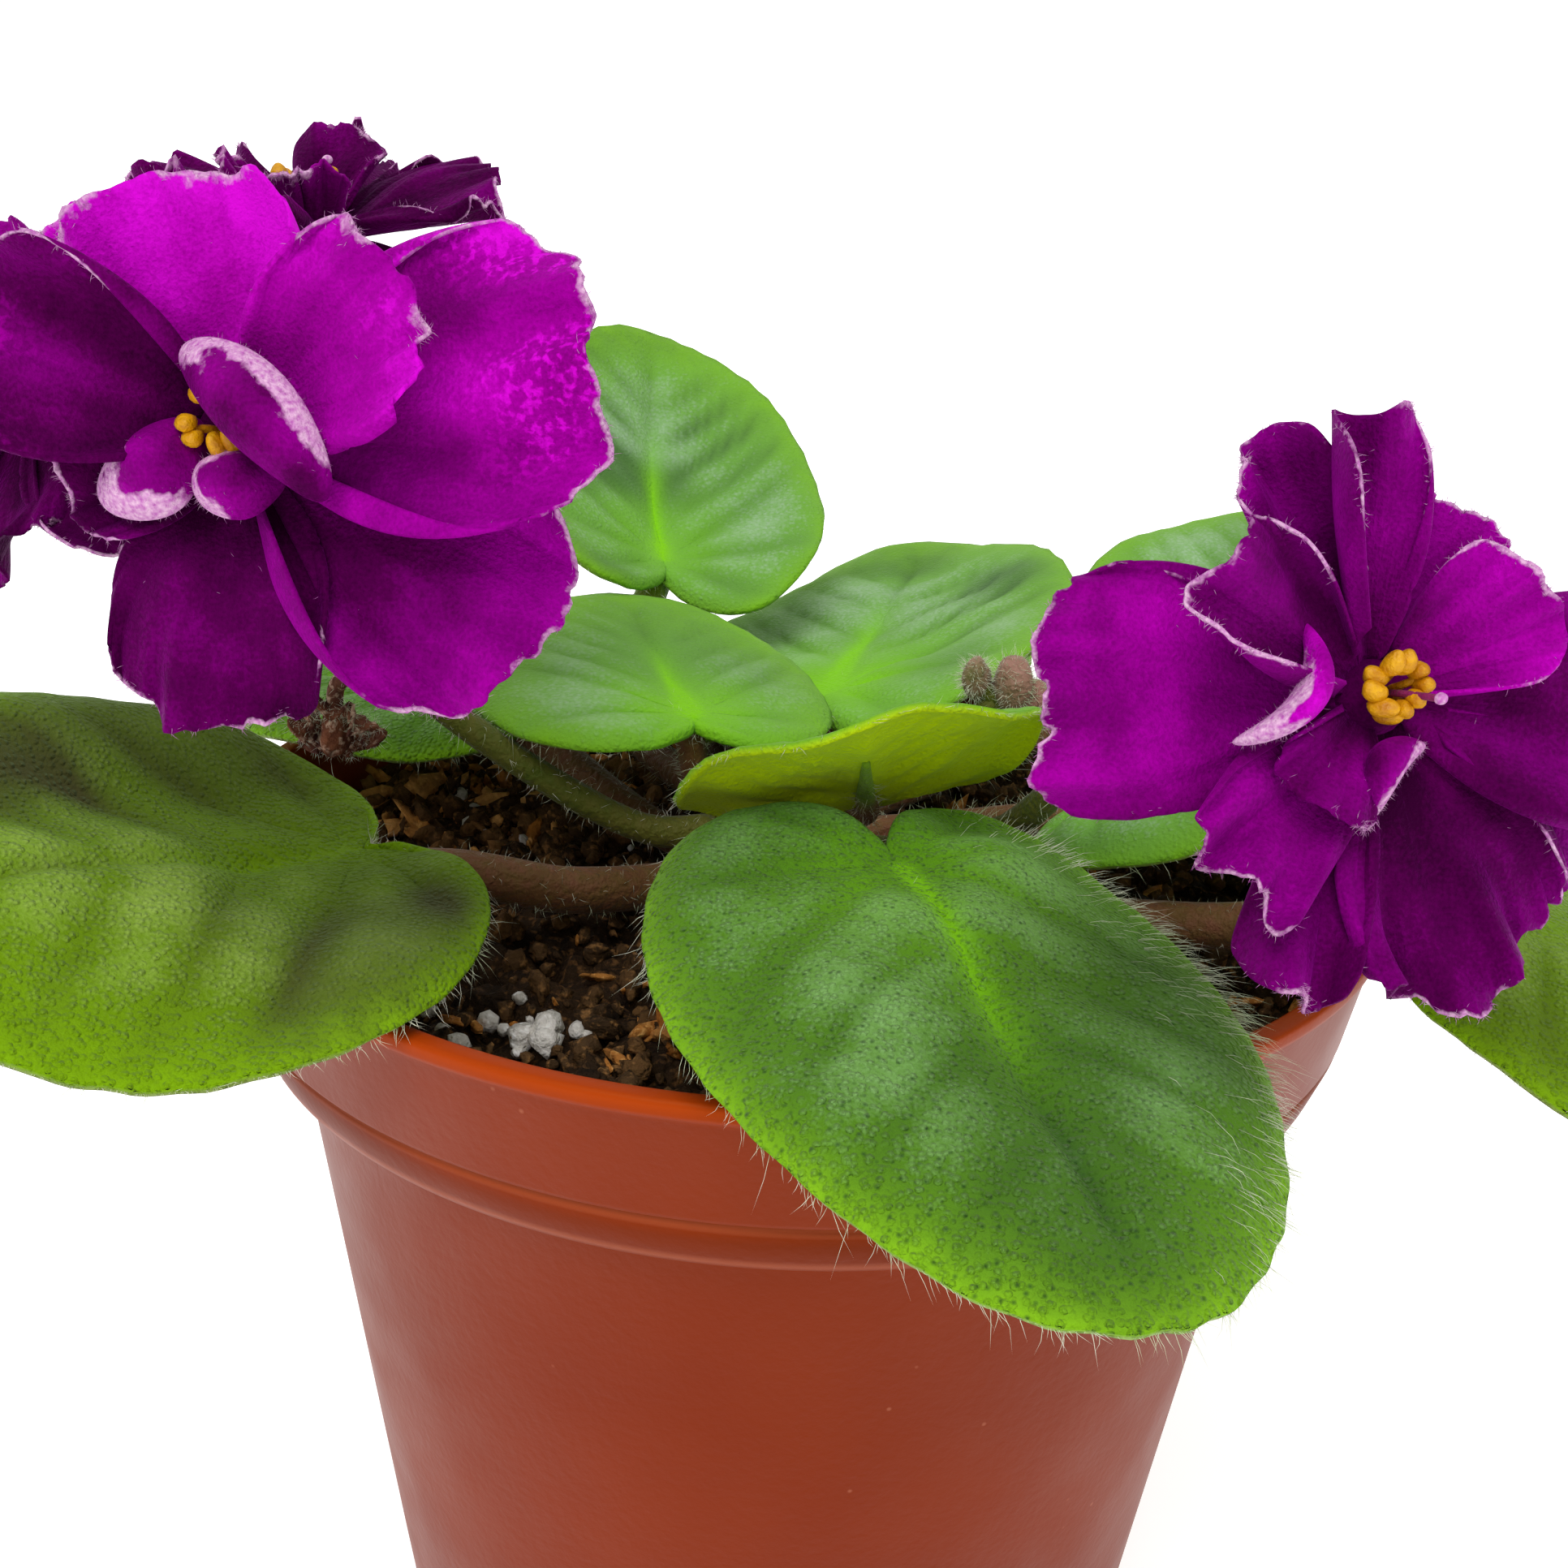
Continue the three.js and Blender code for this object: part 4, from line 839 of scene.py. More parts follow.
# Each petal's and lobe's tone is partly its own purple and partly painted light: bright where light shines
# through the upper petals, dark on cupped and shaded ones.
FLOWERS = {
    "front_left": dict(
        centre=[-38, -45, 139], facing=[-0.05, -0.88, 0.42], anthers=4,
        petals=[
            outer(116, 17.8, 14, spread=46, lift=-0.4, tone=0.82, pale=0.9, frill=0.7),
            outer(165, 18.5, 38, spread=34, curl=-22, cup=0.25, ruffle=0.5, lift=0.6, tone=0.28, mottle=0.2,
                  frill=0.5),
            outer(31, 17.5, 34, spread=37, lift=0.7, ruffle=0.7, tone=0.7, pale=0.8, mottle=0.15, frill=0.8),
            outer(12, 25.5, 14, spread=34, phase=1, lift=-0.1, tone=0.6, pale=0.12, mottle=0.3, frill=0.8),
            outer(-32, 24.3, 4, spread=30, phase=2, lift=-0.9, tone=0.46, pale=0.08, frill=1),
            outer(-91, 19.3, 2, spread=34, phase=3, lift=-0.4, tone=0.14, pale=0.08, frill=1.2),
            outer(142, 19, 8, spread=28, phase=4, lift=-1.1, tone=0.85, pale=0.45),
            outer(204, 12, 12, spread=30, phase=4, lift=-0.8, tone=0.15),
        ],
        lobes=[
            dict(place=[3.2, 0.5, 7.0], size=[7.0, 2.5, 1.4], turn=-43, pale_turn=118,
                 bend=0.4, bow=-0.12, tone=0.58),
            dict(place=[-4.0, -3.4, 4.2], size=[4.3, 3.0, 1.2], turn=42, pale_turn=190,
                 bend=0.6, bow=0.3, tone=0.45),
            dict(place=[1.4, -4.0, 4.4], size=[3.1, 2.3, 1.2], turn=10, pale_turn=170,
                 bend=0.5, bow=0.2, tone=0.5),
        ],
    ),
    "top": dict(
        centre=[-39, -21, 149.5], facing=[0.05, -0.25, 0.97], anthers=3,
        petals=[
            outer(8, 15, 22, ruffle=1.6, frill=1.4, phase=1, tone=0.12),
            outer(88, 15, 10, ruffle=1.6, frill=1.4, phase=2, tone=0.15),
            outer(162, 14, 18, ruffle=1.6, frill=1.4, phase=3, tone=0.1),
            outer(232, 13, 30, frill=2.0, phase=4, tone=0.15, pale=1.0),
            outer(304, 14, -14, frill=1.2, phase=5, tone=0.15),
            outer(328, 15, -26, frill=1.2, phase=2, tone=0.18, lift=-0.8),
            inner(70, 10, 46, tone=0.2),
            inner(180, 9, 50, tone=0.2),
            inner(272, 9.5, 60, spread=40, tone=0.3, pale=1.4),
        ],
    ),
    "far_left": dict(
        centre=[-60, -24, 136], facing=[-0.4, -0.7, 0.6], anthers=3,
        petals=[
            outer(-15, 16.5, 2, phase=1, tone=0.12),
            outer(66, 14, 8, phase=2, tone=0.3),
            outer(140, 17, 14, phase=3, tone=0.4),
            outer(212, 18, 6, phase=4, tone=0.3),
            outer(283, 13.5, 4, phase=5, tone=0.12),
            inner(100, 9, 50),
            inner(220, 9, 46),
            inner(340, 9, 50),
        ],
    ),
    "right": dict(
        centre=[36.8, -50, 126.4], facing=[0.18, -0.88, 0.42], anthers=5,
        petals=[
            outer(178, 23.4, 6, spread=29, phase=1, tone=0.5, frill=1.7),
            outer(150, 17, 28, spread=22, cup=0.2, phase=2, lift=0.7, tone=0.34, pale=0.6, frill=0.7),
            outer(119, 18.5, 12, spread=14, cup=0.3, tone=0.38, frill=1.6),
            outer(100, 18.6, 22, spread=16, cup=0.4, phase=3, lift=0.7, tone=0.4, pale=0.3, frill=0.5),
            outer(62, 14, 10, spread=22, phase=4, lift=-0.6, tone=0.5),
            outer(-6, 22, 10, spread=30, phase=5, tone=0.36),
            outer(-70, 20.8, 2, spread=31, ruffle=1.8, waves=7, phase=1, tone=0.22, pale=0.25, frill=2.0),
            outer(-111, 20, 8, spread=14, phase=3, lift=-0.8, tone=0.26, frill=1.8),
            outer(226, 17.2, 10, spread=23, phase=5, lift=0.6, tone=0.38, pale=0.3, frill=2.0),
            outer(-34, 20, 2, spread=22, phase=2, lift=-1, tone=0.34),
            inner(34, 13, 36, spread=36, pale=0.35, tone=0.5),
            inner(232, 10.5, 30, spread=32, pale=0.4, tone=0.3),
        ],
        lobes=[
            dict(place=[-6.9, -0.6, 6.0], size=[4.6, 1.0, 1.6], turn=54, pale_turn=150,
                 bend=0.5, bow=0.4, tone=0.95),
            dict(place=[-0.9, -4.5, 4.2], size=[2.9, 1.2, 1.2], turn=50, pale_turn=-90,
                 bend=0.4, bow=-0.6, tone=0.5),
        ],
    ),
}


def flower_axes(flower):
    """Out along the flower's facing, and its own right and top."""
    out = unit(np.array(flower["facing"], float))
    right = unit(np.cross([0, 0, 1], out))
    return out, right, np.cross(out, right)


def petal_points(flower, petal, across, along, extra=0.0, outline=1.0):
    """Points of a petal: across runs from -1 to 1, and along from 0 at the throat to 1 at the edge."""
    out, right, top = flower_axes(flower)
    full = 1 + petal["full"] * np.sin(np.pi * np.clip(along, 0, 1))
    angle = np.radians(petal["turn"] + across * petal["spread"] * full)
    reach = (petal["length"] - PETAL_START) * (1 - 0.22 * np.abs(across) ** 3) * outline * along
    tilt = math.radians(petal["tilt"])
    curl = math.radians(petal["curl"]) / petal["length"]
    slope = tilt + curl * reach
    radial = PETAL_START + (np.sin(slope) - math.sin(tilt)) / curl
    height = (math.cos(tilt) - np.cos(slope)) / curl
    ruffle = petal["ruffle"] * along**2.5 * np.sin(petal["waves"] * across + petal["phase"]) + extra
    cup = petal["cup"] * reach * across**2
    spoke = np.cos(angle)[..., None] * right + np.sin(angle)[..., None] * top
    sideways = spoke * (radial - ruffle * np.sin(slope))[..., None]
    rise = petal["lift"] + height + cup + ruffle * np.cos(slope)
    return flower["centre"] + sideways + out * rise[..., None]


def add_petal(piece, flower, petal, seed):
    big = petal["length"] > BIG_PETAL
    columns, rows = BIG_PETAL_STEPS if big else SMALL_PETAL_STEPS
    sweep = np.sin(np.linspace(-np.pi / 2, np.pi / 2, columns))
    across, along = np.meshgrid(sweep, np.linspace(0, 1, rows) ** 0.75)
    spot = np.stack([across * petal["spread"] / 8, along * 3, 0 * along], -1)
    edge = np.stack([across * petal["spread"] / 4, 0 * along, 0 * along], -1)
    frill = petal["frill"] * (1 if big else 0.7)
    outline = (1 - np.minimum(np.abs(across), 0.9999) ** 7) ** 0.2
    outline = outline * (1 + frill * (0.045 * noise(edge, 1.7, seed) + 0.014 * noise(edge, 0.45, seed + 1)))
    wave = frill * along**5 * (1.0 * noise(edge, 1.3, seed + 2) + 0.3 * noise(edge, 0.45, seed + 3))
    wave = wave + 0.45 * along**1.5 * noise(edge, 0.9, seed + 9)
    body = 1.2 * noise(spot, 1.5, seed + 4) * along * (1 if big else 0.5)
    points = petal_points(flower, petal, across, along, wave + body, outline)
    margin = np.exp(-(1 - along) * petal["length"] / petal["pale"]) * smooth_step(0.45, 0.85, outline * along)
    margin = margin * np.clip(0.75 + 0.9 * noise(edge, 2.4, seed + 7), 0, 1.3)
    # Painted shade: the tone darkens towards the throat, on top of each petal's own tone.
    tone = petal["tone"] + 0.2 * noise(spot, 1.6, seed + 5) + 0.3 * (along - 0.6)
    mottle = petal["mottle"] * smooth_step(0.55, 0.9, along)
    mottle = mottle * smooth_step(0.0, 0.5, noise(spot, 1.1, seed + 8))
    skin, skin_faces = grid_solid(points, PETAL_THICKNESS * (1 - 0.55 * along.ravel() ** 4))
    both = {"margin": margin, "tone": tone, "bulge": mottle, "across": across, "along": along}
    piece.add(skin, skin_faces, PETAL, **{key: np.tile(value.ravel(), 2) for key, value in both.items()})

    count = 150 if big else 110
    spots, normals = scatter(skin, skin_faces, count, np.tile((margin**2).ravel(), 2) + 1e-3)
    directions = unit(normals + 0.7 * rng.normal(size=spots.shape))
    lengths = 0.5 * rng.uniform(0.5, 1.3, count)
    hairs = strands(spots, directions, lengths, 0.02, 0.2 * rng.normal(size=spots.shape))
    piece.add(*hairs, PETAL, margin=1.0, tone=0.8)


def add_lobe(piece, flower, lobe, seed):
    """A fleshy folded petal near the throat, thick and rounded, with a fuzzy pale edge."""
    out, right, top = flower_axes(flower)
    turn, pale = math.radians(lobe["turn"]), math.radians(lobe["pale_turn"])
    long_way = right * math.cos(turn) + top * math.sin(turn)
    short_way = top * math.cos(turn) - right * math.sin(turn)
    place = flower["centre"] + np.stack([right, top, out]).T @ np.array(lobe["place"], float)
    points, faces = blob([0, 0, 0], np.eye(3), lobe["size"], seed, 26, 44, lump=0.09, size=0.8)
    u, v, w = points.T
    wide, high, _ = lobe["size"]
    edge = np.hypot(u / wide, v / high)
    side = u / wide * math.cos(pale) + v / high * math.sin(pale)
    v = v + lobe["bow"] * u**2 / wide
    w = w - lobe["bend"] * (u**2 + v**2) / wide
    points = place + np.outer(u, long_way) + np.outer(v, short_way) + np.outer(w, out)
    margin = 1.5 * smooth_step(0.35, 0.8, edge + 0.25 * noise(points, 1.2, seed))
    margin = margin * smooth_step(-0.35, 0.4, side)
    tone = lobe["tone"] + 0.25 * noise(points, 2, seed) - 0.2 * smooth_step(0.2, -0.6, side)
    piece.add(points, faces, PETAL, margin=margin, tone=tone, across=u / 10, along=v / 10)
    fuzz(piece, points, faces, 300, 0.35, radius=0.016, weight=margin + 0.02, material=PETAL, margin=1.0)


def along_facing(flower, profile, sides):
    out, right, top = flower_axes(flower)
    points, faces = turned(profile, sides)
    return flower["centre"] + points @ np.stack([right, top, out]), faces


def make_bloom(name, flower, seed):
    piece = Piece("bloom_" + name)
    profile = [
        [0, THROAT_BACK], [1.7, THROAT_BACK], [2.2, -3], [THROAT_RADIUS, -1.5], [THROAT_RADIUS + 0.1, 0.5],
        [THROAT_RADIUS - 0.5, THROAT_FRONT], [0, THROAT_FRONT],
    ]
    piece.add(*along_facing(flower, profile, 24), PETAL, tone=0.15)
    for index, petal in enumerate(flower["petals"]):
        add_petal(piece, flower, petal, seed + 10 * index)
    for index, lobe in enumerate(flower.get("lobes", ())):
        add_lobe(piece, flower, lobe, seed + index)
    return piece.make("petal", "bloom_" + name)


def blob(centre, axes, radii, seed, rows=9, columns=14, lump=0.0, size=1.0):
    """A rounded lump with its own axes and radii."""
    lat = np.linspace(-np.pi / 2, np.pi / 2, rows + 2)[1:-1]
    lon = np.arange(columns) * 2 * np.pi / columns
    lat, lon = np.meshgrid(lat, lon, indexing="ij")
    ball = np.stack([np.cos(lat) * np.cos(lon), np.cos(lat) * np.sin(lon), np.sin(lat)], -1).reshape(-1, 3)
    ball = np.concatenate([ball, [[0, 0, -1]], [[0, 0, 1]]])
    ball = ball * (1 + lump * noise(ball + seed, size, seed))[:, None]
    points = np.array(centre) + (ball * radii) @ np.array(axes)
    return points, closed_faces(rows, columns)


def make_anthers(name, flower, seed):
    """Two-lobed anthers on short filaments round the pistil."""
    out, right, top = flower_axes(flower)
    centre = np.array(flower["centre"], float)
    foot = THROAT_FRONT + CLEARANCE
    piece = Piece("anthers_" + name)
    count = flower["anthers"]
    for i in range(count):
        turn = i * 2 * math.pi / count + 0.4
        spoke = right * math.cos(turn) + top * math.sin(turn)
        lean = unit(rng.normal(size=3) * 0.5 + out)
        tangent = unit(np.cross(lean, spoke))
        head = centre + spoke * rng.uniform(1.1, 2.3) + out * (foot + rng.uniform(1.6, 2.8))
        for sign in (-1, 1):
            place = head + tangent * 0.5 * sign
            axes = [tangent, np.cross(lean, tangent), lean]
            piece.add(*blob(place, axes, [0.62, 0.72, 1.1], seed + i, lump=0.2), ANTHER)
        middle = centre + spoke * 0.9 + out * (foot + 1)
        route, _ = curve_through([centre + spoke * 0.6 + out * foot, middle, head], 8)
        piece.add(*tube(route, 0.28, 8), ANTHER)
    middle = centre + out * (foot + 2) + right * 0.4 - top * 0.3
    tip = centre + out * (foot + 4.4) + right * 1.6 - top * 0.9
    route, _ = curve_through([centre + out * foot, middle, tip], 12)
    piece.add(*tube(route, 0.24, 8), PISTIL)
    piece.add(*blob(route[-1], np.eye(3), [0.42, 0.42, 0.36], seed, lump=0.15), PETAL, margin=1.0, tone=0.8)
    return piece.make("anther", "anthers_" + name)


# Flower stalks

def add_stem(piece, route, start, end, material, hairs, steps=30):
    """A hairy stem along a route, with its radius from start to end."""
    centres, _ = curve_through(route, steps)
    radii = np.linspace(start, end, steps) * (1 + 0.06 * noise(centres, 3, 5))
    add_fuzzy(piece, tube(centres, radii, STALK_SIDES), material, hairs, 1.1, STEM_HAIR_RADIUS)


def calyx_foot(flower, extra=0.0):
    out, _, _ = flower_axes(flower)
    return flower["centre"] + out * (THROAT_BACK - CLEARANCE - CUP_LENGTH + 0.4 - extra)


def add_calyx(piece, flower):
    """The cup behind a flower, with its five sepals."""
    front = THROAT_BACK - CLEARANCE
    back = front - CUP_LENGTH
    profile = [[0, back], [1, back], [1.6, back + 1], [2.1, front - 1.2]]
    profile += [[2.1, front - 0.2], [1.8, front], [0, front]]
    add_fuzzy(piece, along_facing(flower, profile, 20), GREEN_STALK, 90, 0.8, 0.024)
    across, along = np.meshgrid(np.linspace(-1, 1, 9), np.linspace(0.05, 1, 14))
    for i in range(5):
        sepal = dict(
            turn=30 + i * 72, length=6.4, spread=13, tilt=8, curl=14, cup=0.3, ruffle=0.15, waves=3, phase=i,
            lift=front - 0.9, full=0,
        )
        points = petal_points(flower, sepal, across * (1.05 - along**2), along)
        add_fuzzy(piece, grid_solid(points, 0.55), GREEN_STALK, 40, 0.6)


def add_spent_flower(piece, centre):
    """A withered flower: a lump with six curled bits of petal."""
    spent = dict(centre=centre, facing=[-0.1, -0.75, -0.5])
    piece.add(*blob(centre, np.eye(3), [1.5, 1.4, 2.2], 5, 14, 20, lump=0.3, size=0.5), WITHERED)
    across, along = np.meshgrid(np.linspace(-1, 1, 14), np.linspace(0, 1, 16))
    for i in range(6):
        petal = dict(
            turn=60 * i + 20, length=4.6 - 0.5 * (i % 3), spread=34, tilt=20, curl=70, cup=0.3, ruffle=1.2,
            waves=4, phase=i, lift=-1.2, full=0,
        )
        rough = np.stack([across * 2, along * 2, 0 * along + i], -1)
        points = petal_points(spent, petal, across, along, 0.8 * noise(rough, 0.6, i))
        add_fuzzy(piece, grid_solid(points, 0.3), WITHERED, 170, 0.8)


def make_left_stalk():
    piece = Piece("stalk_left")
    low_fork, fork = [-33, -12, 110.5], [-36.5, -16, 118]
    add_stem(piece, [[-7.8, -7.2, 97], [-14, -9, 97.5], low_fork, fork], 1.5, 1.3, GREEN_STALK, 260)
    branches = {"front_left": [-37, -24, 129], "top": [-37.5, -17, 130], "far_left": [-45, -15, 124]}
    for name, via in branches.items():
        flower = FLOWERS[name]
        add_stem(piece, [fork, via, calyx_foot(flower, 4), calyx_foot(flower)], 1, 0.95, GREEN_STALK, 160)
        add_calyx(piece, flower)
    add_stem(piece, [low_fork, [-38, -9, 111], [-42.5, -5.5, 109], [-43.5, -4, 105]], 0.8, 0.8, WITHERED, 60)
    add_spent_flower(piece, [-43.4, -4, 103.6])
    return piece.make("stalk", "stalk_left")


def make_right_stalk():
    piece = Piece("stalk_right")
    flower = FLOWERS["right"]
    route = [[2.5, -10, 96.8], [10, -12, 97.8], [18, -14, 101], [23.5, -22.5, 110.5], [30, -32, 117.5]]
    add_stem(piece, [*route, calyx_foot(flower, 4), calyx_foot(flower)], 1.5, 1.1, GREEN_STALK, 420)
    add_calyx(piece, flower)
    return piece.make("stalk", "stalk_right")


def make_bud_stalk():
    piece = Piece("stalk_buds")
    tip = [17, -8, 111]
    add_stem(piece, [[3, -3, 100.6], [8, -4, 104], [13.5, -8, 108], tip], 1.1, 0.9, GREEN_STALK, 160)
    for i, place in enumerate(([18.6, -8.4, 113], [21, -8, 111], [15.2, -8.2, 113.2])):
        middle = (np.array(tip) + place) / 2 + [0, 0, 0.1]
        add_stem(piece, [tip, middle, place], 0.8, 0.7, GREEN_STALK, 10, steps=8)
        size = 1.7 - 0.2 * i
        shape = blob(place, np.eye(3), [size, size, size * 1.5], i, 14, 20, lump=0.16, size=0.7)
        add_fuzzy(piece, shape, BUD, 420, 0.9)
    return piece.make("stalk", "stalk_buds")


def make_crown():
    piece = Piece("crown")
    heights = np.linspace(CROWN_FOOT + 1, CROWN_TOP - 0.6, 60)
    share = (heights - CROWN_FOOT) / (CROWN_TOP - CROWN_FOOT)
    radii = CROWN_RADIUS * smooth_step(-0.5, 0.4, share) * (1 + 0.03 * np.sin(heights * 3.2)) * 0.96
    radii[-4:] *= [0.97, 0.9, 0.75, 0.5]
    profile = [[0, CROWN_FOOT], *zip(radii, heights), [0, CROWN_TOP]]
    points, faces = turned(profile, 32)
    add_fuzzy(piece, (points + CROWN, faces), STALK, 500, 0.8)
    for i in range(4):
        turn = i * math.pi / 2
        place = CROWN + [1.5 * math.cos(turn), 1.5 * math.sin(turn), CROWN_TOP - 0.6]
        axes = [[math.cos(turn), math.sin(turn), 0], [-math.sin(turn), math.cos(turn), 0], [0, 0, 1]]
        shape = blob(place, axes, [1, 1.4, 2.1], i, 12, 18, lump=0.08)
        add_fuzzy(piece, shape, YOUNG_LEAF, 200, 0.9, margin=0.3)
    return piece.make("stalk", "crown")


# Soil and pot


def soil_height(x, y):
    out = np.hypot(x, y) / RIM_RADIUS
    lumps = np.sin(0.31 * x + 1.3) * np.sin(0.37 * y) + 0.6 * np.sin(0.83 * x + 0.41 * y)
    return SOIL_EDGE + SOIL_MOUND * (1 - out * out) + SOIL_LUMPS * lumps


def soil_wall(height):
    """The soil's radius inside the pot at a height."""
    if height > COLLAR_HEIGHT + 1.4:
        share = (height - COLLAR_HEIGHT) / (POT_HEIGHT - COLLAR_HEIGHT)
        return COLLAR_RADIUS + share * (RIM_RADIUS - COLLAR_RADIUS) - WALL - 2.5 * CLEARANCE
    return BASE_RADIUS + height / COLLAR_HEIGHT * (BODY_RADIUS - BASE_RADIUS) - WALL - CLEARANCE


def make_soil():
    """The soil's body. Its rings go up the pot's wall and then inwards over the top."""
    sides, rings = SOIL_STEPS
    floor = WALL + CLEARANCE
    step = COLLAR_HEIGHT + 1.9
    wall = [(soil_wall(floor), floor), (soil_wall(COLLAR_HEIGHT), step - 1.3), (soil_wall(step), step)]
    layers = [level_ring(radius, height, sides) for radius, height in wall]
    for share in np.linspace(1, 0.008, rings):
        ring = level_ring(soil_wall(SOIL_EDGE - 1) * share, 0, sides)
        rough = 1.1 * noise(ring, 3.1, 1) + 0.8 * noise(ring, 1.4, 2) + 0.45 * noise(ring, 0.8, 3)
        ring[:, 2] = soil_height(ring[:, 0], ring[:, 1]) + 1.1 * rough * smooth_step(1, 0.96, share)
        layers.append(ring)
    points = np.concatenate([*layers, [[0, 0, floor]], [[0, 0, soil_height(0, 0)]]])
    piece = Piece("soil")
    piece.add(points, closed_faces(len(layers), sides), PEAT)
    return piece.make("soil", "soil")


def add_crumb(piece, material, place, radius, shape, lump, tone, seed):
    """A loose bit of the mix, turned at random."""
    first = unit(rng.normal(size=3))
    second = unit(np.cross(first, rng.normal(size=3)))
    axes = np.stack([second, np.cross(first, second), first])
    x, y = place
    centre = [x, y, soil_height(x, y) + 0.5 * radius + 0.3]
    shape = blob(centre, axes, radius * np.array(shape), seed, rows=4, columns=7, lump=lump, size=0.6)
    piece.add(*shape, material, tone=tone)


def make_crumbs():
    """Loose crumbs of peat, bark and perlite that lie on the soil, with more bark at the back left."""
    piece = Piece("soil_crumbs")
    # Each kind's material, count, size, shape, lumpiness, brightness, and the centre and reach of its patch.
    kinds = (
        (CRUMB, 1750, 0.6, (1.3, 1, 0.8), 0.7, 0.5, [0, 0], SOIL_REACH),
        # The back-left patches have brightness 1: the bark and peat there are lighter, and partly painted
        # light lifts the shade under the flowers.
        (CRUMB, 350, 0.7, (1.5, 1, 0.7), 0.7, 1, [-32, 14], 18),
        (BARK, 110, 0.5, (2.4, 0.9, 0.5), 0.7, 0.3, [0, 0], SOIL_REACH),
        (BARK, 120, 0.75, (2.4, 0.9, 0.5), 0.7, 1, [-34, 18], 18),
        (BARK, 14, 0.8, (2.4, 0.8, 0.5), 0.7, 0.3, [-11, -34], 5),
        (PERLITE, 70, 0.5, (1, 1, 0.9), 0.3, 0, [0, 0], SOIL_REACH),
        (PERLITE, 18, 0.65, (1.1, 1, 0.9), 0.3, 0, [-20, -32.5], 4.5),
        (PERLITE, 14, 0.5, (1.1, 1, 0.9), 0.3, 0, [-30, 10], 10),
    )
    for material, count, size, shape, lump, bright, centre, reach in kinds:
        for i in range(count):
            turn = rng.uniform(0, 2 * np.pi)
            away = reach * math.sqrt(rng.uniform(0, 1))
            place = np.array(centre) + away * np.array([math.cos(turn), math.sin(turn)])
            from_crown = np.linalg.norm(place - CROWN[:2])
            if np.linalg.norm(place) > SOIL_REACH or from_crown < CROWN_RADIUS + 2.5:
                continue
            radius = min(size * rng.gamma(4, 1 / 4), 2 * size)
            add_crumb(piece, material, place, radius, shape, lump, bright * rng.beta(1, 2), i)
    return piece.make("soil")


def make_pot():
    slope = (BODY_RADIUS - BASE_RADIUS) / COLLAR_HEIGHT
    top = POT_HEIGHT
    lip = top - LIP_DEPTH
    profile = [
        [0, 0], [BASE_RADIUS - 2.4, 0], [BASE_RADIUS - 0.8, 0], [BASE_RADIUS - 0.2, 0.25], [BASE_RADIUS, 0.9],
        *[[BASE_RADIUS + slope * z, z] for z in (20, 40, 60)],
        [BODY_RADIUS - 0.12, COLLAR_HEIGHT - 1.2], [BODY_RADIUS + 0.1, COLLAR_HEIGHT - 0.6],
        [COLLAR_RADIUS - 0.5, COLLAR_HEIGHT - 0.1], [COLLAR_RADIUS - 0.12, COLLAR_HEIGHT + 0.1],
        [COLLAR_RADIUS + 0.1, COLLAR_HEIGHT + 0.6],
        [GROOVE_RADIUS - 0.1, GROOVE_HEIGHT - 0.5], [GROOVE_RADIUS - 0.2, GROOVE_HEIGHT - 0.25],
        [GROOVE_RADIUS - 0.45, GROOVE_HEIGHT], [GROOVE_RADIUS, GROOVE_HEIGHT + 0.25],
        [GROOVE_RADIUS + 0.15, GROOVE_HEIGHT + 0.6],
        [RIM_RADIUS - 0.62, lip - 0.3], [RIM_RADIUS - 0.45, lip], [RIM_RADIUS - 0.05, lip + 0.2],
        [RIM_RADIUS, lip + 0.5], [RIM_RADIUS, top - 0.45], [RIM_RADIUS - 0.12, top - 0.14],
        [RIM_RADIUS - 0.4, top], [RIM_RADIUS - WALL - 0.1, top],
        [RIM_RADIUS - WALL - 0.4, top - 0.15], [RIM_RADIUS - WALL - 0.5, top - 0.6],
        [COLLAR_RADIUS - WALL, COLLAR_HEIGHT + 1.4], [BODY_RADIUS - WALL, COLLAR_HEIGHT + 0.4],
        [BASE_RADIUS - WALL + slope * WALL, WALL], [0, WALL],
    ]
    piece = Piece("pot_finish")
    piece.add(*turned(profile, POT_SIDES), POT)
    made = piece.make("pot", "pot")
    for i in range(DRAIN_COUNT):
        turn = i * 2 * math.pi / DRAIN_COUNT
        place = [DRAIN_RING * math.cos(turn), DRAIN_RING * math.sin(turn), 0]
        points, faces = turned([[0, -3], [DRAIN_RADIUS, -3], [DRAIN_RADIUS, 4], [0, 4]], 28)
        cut_mesh = bpy.data.meshes.new("drain")
        cut_mesh.from_pydata(((points + place) * MM).tolist(), [], faces.tolist())
        cutter = add_object("drain", cut_mesh)
        cut = made.modifiers.new("drain", "BOOLEAN")
        cut.object = cutter
        cut.operation = "DIFFERENCE"
        bpy.context.view_layer.objects.active = made
        bpy.ops.object.modifier_apply(modifier="drain")
        bpy.data.objects.remove(cutter)
    return made


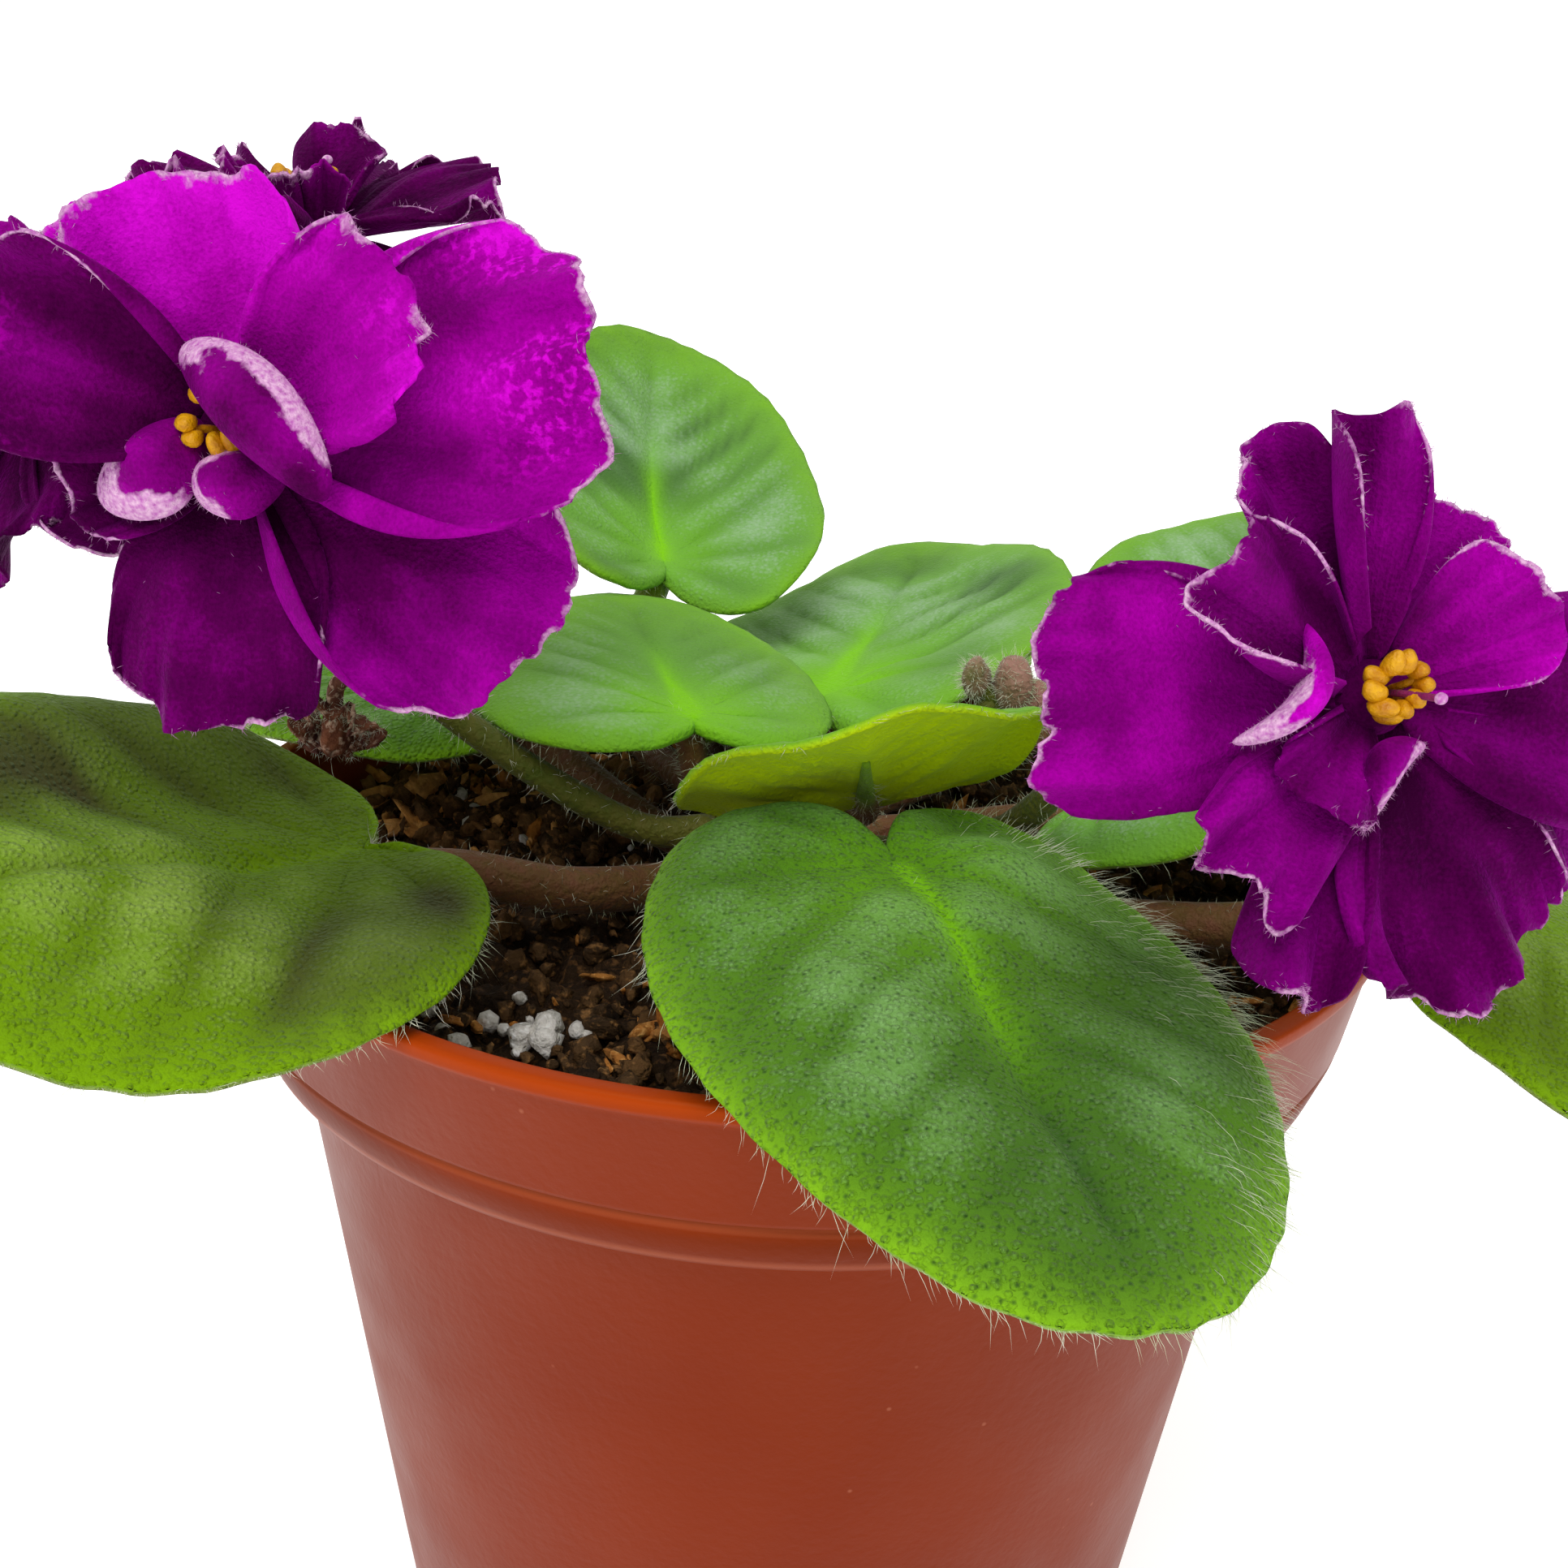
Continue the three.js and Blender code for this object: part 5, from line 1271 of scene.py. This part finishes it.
for index, (leaf_name, leaf_values) in enumerate(LEAVES.items()):
    make_leaf(leaf_name, leaf_values, 100 + 10 * index)
for index, (flower_name, flower_values) in enumerate(FLOWERS.items()):
    make_bloom(flower_name, flower_values, 1000 + 200 * index)
    make_anthers(flower_name, flower_values, 50 + 10 * index)
make_left_stalk()
make_right_stalk()
make_bud_stalk()
make_crown()
make_soil()
make_crumbs()
make_pot()

# Floor, light and camera
floor_mesh = bpy.data.meshes.new("floor")
corners = [(x * FLOOR_REACH, y * FLOOR_REACH, 0) for x, y in ((-1, -1), (1, -1), (1, 1), (-1, 1))]
floor_mesh.from_pydata(corners, [], [(0, 1, 2, 3)])
floor = add_object("floor", floor_mesh)
white = (1, 1, 1, 1)
table = Graph("light table", 0.9, Specular_IOR_Level=0.1, Emission_Color=white, Emission_Strength=FLOOR_GLOW)
top = table.blend(table.grain(400, 2), (0.93, 0.93, 0.93, 1), (0.95, 0.95, 0.95, 1))
floor_mesh.materials.append(table.finish(top))

world = bpy.data.worlds.new("studio")
world.use_nodes = True
backdrop = world.node_tree.nodes["Background"]
backdrop.inputs["Color"].default_value = white
ray = world.node_tree.nodes.new("ShaderNodeLightPath")
brightness = world.node_tree.nodes.new("ShaderNodeMapRange")
brightness.inputs["To Min"].default_value = WORLD_LIGHT
brightness.inputs["To Max"].default_value = WORLD_SEEN
world.node_tree.links.new(ray.outputs["Is Camera Ray"], brightness.inputs["Value"])
world.node_tree.links.new(brightness.outputs["Result"], backdrop.inputs["Strength"])
bpy.context.scene.world = world

sun = bpy.data.lights.new("soft key", "SUN")
sun.energy = SUN_ENERGY
sun.angle = math.radians(SUN_SPREAD)
add_object("soft key", sun).rotation_euler = [math.radians(angle) for angle in SUN_TILT]

lens = bpy.data.cameras.new("camera")
lens.sensor_width = SENSOR
lens.lens = FOCAL_PIXELS / FRAME_PIXELS * SENSOR
lens.clip_start = 0.01
camera = add_object("camera", lens)
pose = np.eye(4)
pose[:3, :3] = np.stack([CAMERA_RIGHT, CAMERA_UP, -np.array(CAMERA_AHEAD)], 1)
pose[:3, 3] = np.array(CAMERA) * MM
camera.matrix_world = Matrix(pose.tolist())
bpy.context.scene.camera = camera
bpy.context.scene.view_settings.view_transform = "Standard"
